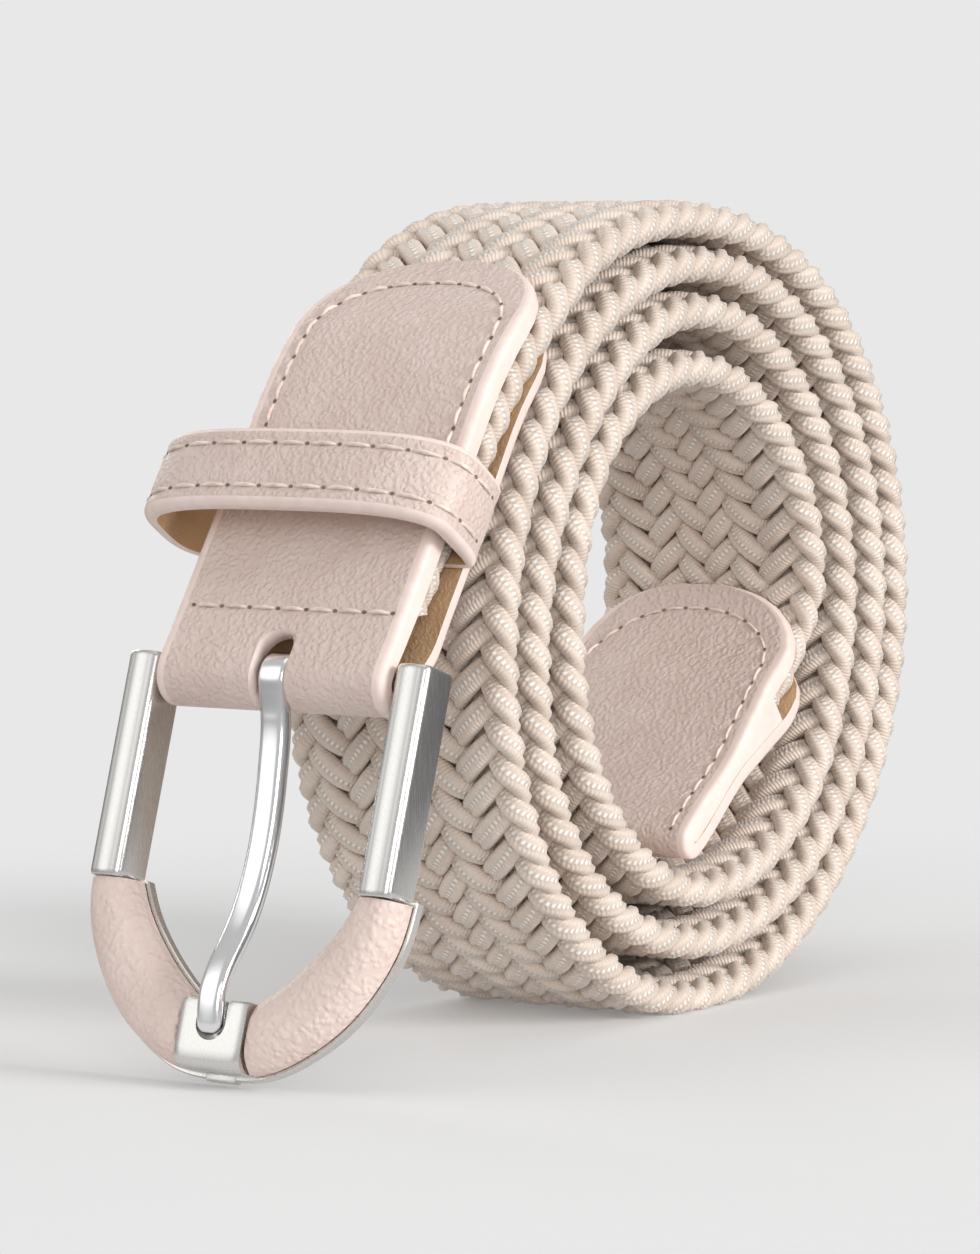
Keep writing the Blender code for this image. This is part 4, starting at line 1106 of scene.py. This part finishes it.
# %% [markdown]
# ### Prong
# The prong is bent from one bar. It is curled round the pin, leaves it at the front, sinks a
# little into the window and rises over the saddle, where its round point lies in the notch. Its
# middle line is a curve through chosen points, and its section narrows towards the point.

# %% Prong
PRONG_ROWS = ((0.900, 0.12), (0.860, 0.03), (0.808, -0.04), (0.750, 0.06), (0.654, 0.43), (0.538, 0.70),
              (0.385, 0.76), (0.231, 0.60), (0.127, 0.38))
POINT_WIDE, EYE_WIDE, POINT_THICK, MIDDLE_THICK, EYE_THINNER = (v * MM for v in (3.6, 4.0, 1.9, 2.3, 0.8))
POINT_ROUND, THINNING = 1.5 * MM, 3.9 * MM
eye_radius = PIN_RADIUS + CLEAR + 0.75 * MM
prong_line = [(t * FRAME_LENGTH, d * BAR_DEPTH) for t, d in PRONG_ROWS]
for angle in np.radians(np.linspace(60.0, 330.0, 14)):
    prong_line.append((PIN_DROP + eye_radius * math.cos(angle), PIN_DEPTH - eye_radius * math.sin(angle)))
spots, run = curve_through(prong_line, 150)
slope = directions(spots)
eye_start = FRAME_LENGTH * 0.9 - PIN_DROP
rings = []
for (t, d), (dt, dd), s in zip(spots, slope, run):
    share = min(s / eye_start, 1.0)
    wide = POINT_WIDE + (EYE_WIDE - POINT_WIDE) * share
    thick = POINT_THICK + (MIDDLE_THICK - POINT_THICK) * min(share * 3.0, 1.0)
    thick -= EYE_THINNER * min(max(1.0 - (eye_start - s) / THINNING, 0.0), 1.0)
    tip_round = math.sqrt(max(1.0 - max(1.0 - (s + 0.02 * MM) / POINT_ROUND, 0.0) ** 2, 0.0))
    section = rounded(wide / 2.0, thick / 2.0, (thick * 0.44,) * 4, 4) * max(tip_round, 0.15)
    rings.append(on_frame(t - dd * section[:, 1], section[:, 0], d + dt * section[:, 1]))
prong_piece = skin("prong_metal", rings, "prong", [bright_steel])
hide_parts("prong")

# %% [markdown]
# ## Table and light
# The photo is a studio shot: the ground and the background have one pale grey, and only a soft
# shadow ties the belt to the table. The floor fades out a short way from the belt and the world
# goes on in the same grey. The world also lights the scene, brighter from above and in front and
# darker on the right, with one bright patch like a window, so the metal has something to mirror.

# %% Floor
BACKGROUND = linear(232, 232, 232)
floor_mesh = bpy.data.meshes.new("floor")
FLOOR_HALF, FLOOR_BELOW, FADE_FROM, FADE_TO = 1.6, 0.15 * MM, 0.09, 0.22
corners = [(x * FLOOR_HALF, y * FLOOR_HALF, -FLOOR_BELOW) for x, y in ((-1, -1), (1, -1), (1, 1), (-1, 1))]
floor_mesh.from_pydata(corners, [], [(0, 1, 2, 3)])
floor = new_object("floor", floor_mesh)
WHITE, GREY = (1.0, 1.0, 1.0, 1.0), (0.63, 0.63, 0.63, 1.0)
pale, tree, shader = new_material("pale_floor", Roughness=0.9, Specular_IOR_Level=0.0, Base_Color=GREY,
                                  Emission_Color=WHITE, Emission_Strength=0.15)
distance = vectors(tree, "LENGTH", object_coords(tree), output="Value")
feed(shader, Alpha=flip(tree, ramp(tree, distance, FADE_FROM, FADE_TO)))
floor_mesh.materials.append(pale)
print("floor", [round(v, 2) for v in floor.dimensions])

# %% World
world = bpy.data.worlds.new("studio")
bpy.context.scene.world = world
world.use_nodes = True
tree = world.node_tree
aim = node(tree, "ShaderNodeTexCoord").outputs["Generated"]
DARK_SIDE, LIGHT_SIDE, WINDOW = (0.10, 0.10, 0.105, 1.0), (0.58, 0.58, 0.575, 1.0), (1.50, 1.50, 1.49, 1.0)
toward = vectors(tree, "DOT_PRODUCT", aim, (-0.55, -0.10, 0.83), output="Value")
room = mix(tree, ramp(tree, toward, -0.75, 0.75), DARK_SIDE, LIGHT_SIDE)
window = vectors(tree, "DOT_PRODUCT", aim, (-0.71, 0.56, 0.42), output="Value")
room = mix(tree, ramp(tree, window, 0.84, 0.995), room, WINDOW)
seen = mix(tree, node(tree, "ShaderNodeLightPath").outputs["Is Camera Ray"], room, BACKGROUND)
feed(tree.nodes["Background"], Color=seen)
bpy.context.scene.view_settings.view_transform = "Standard"
print("world", world.name, "background", [round(v, 3) for v in BACKGROUND])

# %% Softboxes
TARGET = Vector((0.0, 0.0, 0.05))
SOFTBOXES = (("key", (0.05, -1.05, 0.38), 0.4, 9.3), ("front", (-0.90, -0.75, 0.35), 0.6, 3.4),
             ("top", (0.0, 0.0, 0.9), 0.6, 0.6), ("rear", (0.45, 0.95, 0.45), 0.5, 2.2))
for name, place, size, power in SOFTBOXES:
    light = bpy.data.lights.new(name, "AREA")
    light.size, light.energy = size, power
    lamp = new_object(name, light)
    lamp.location = place
    lamp.rotation_euler = (TARGET - Vector(place)).to_track_quat("-Z", "Y").to_euler()
    print("softbox", name, power, "W")
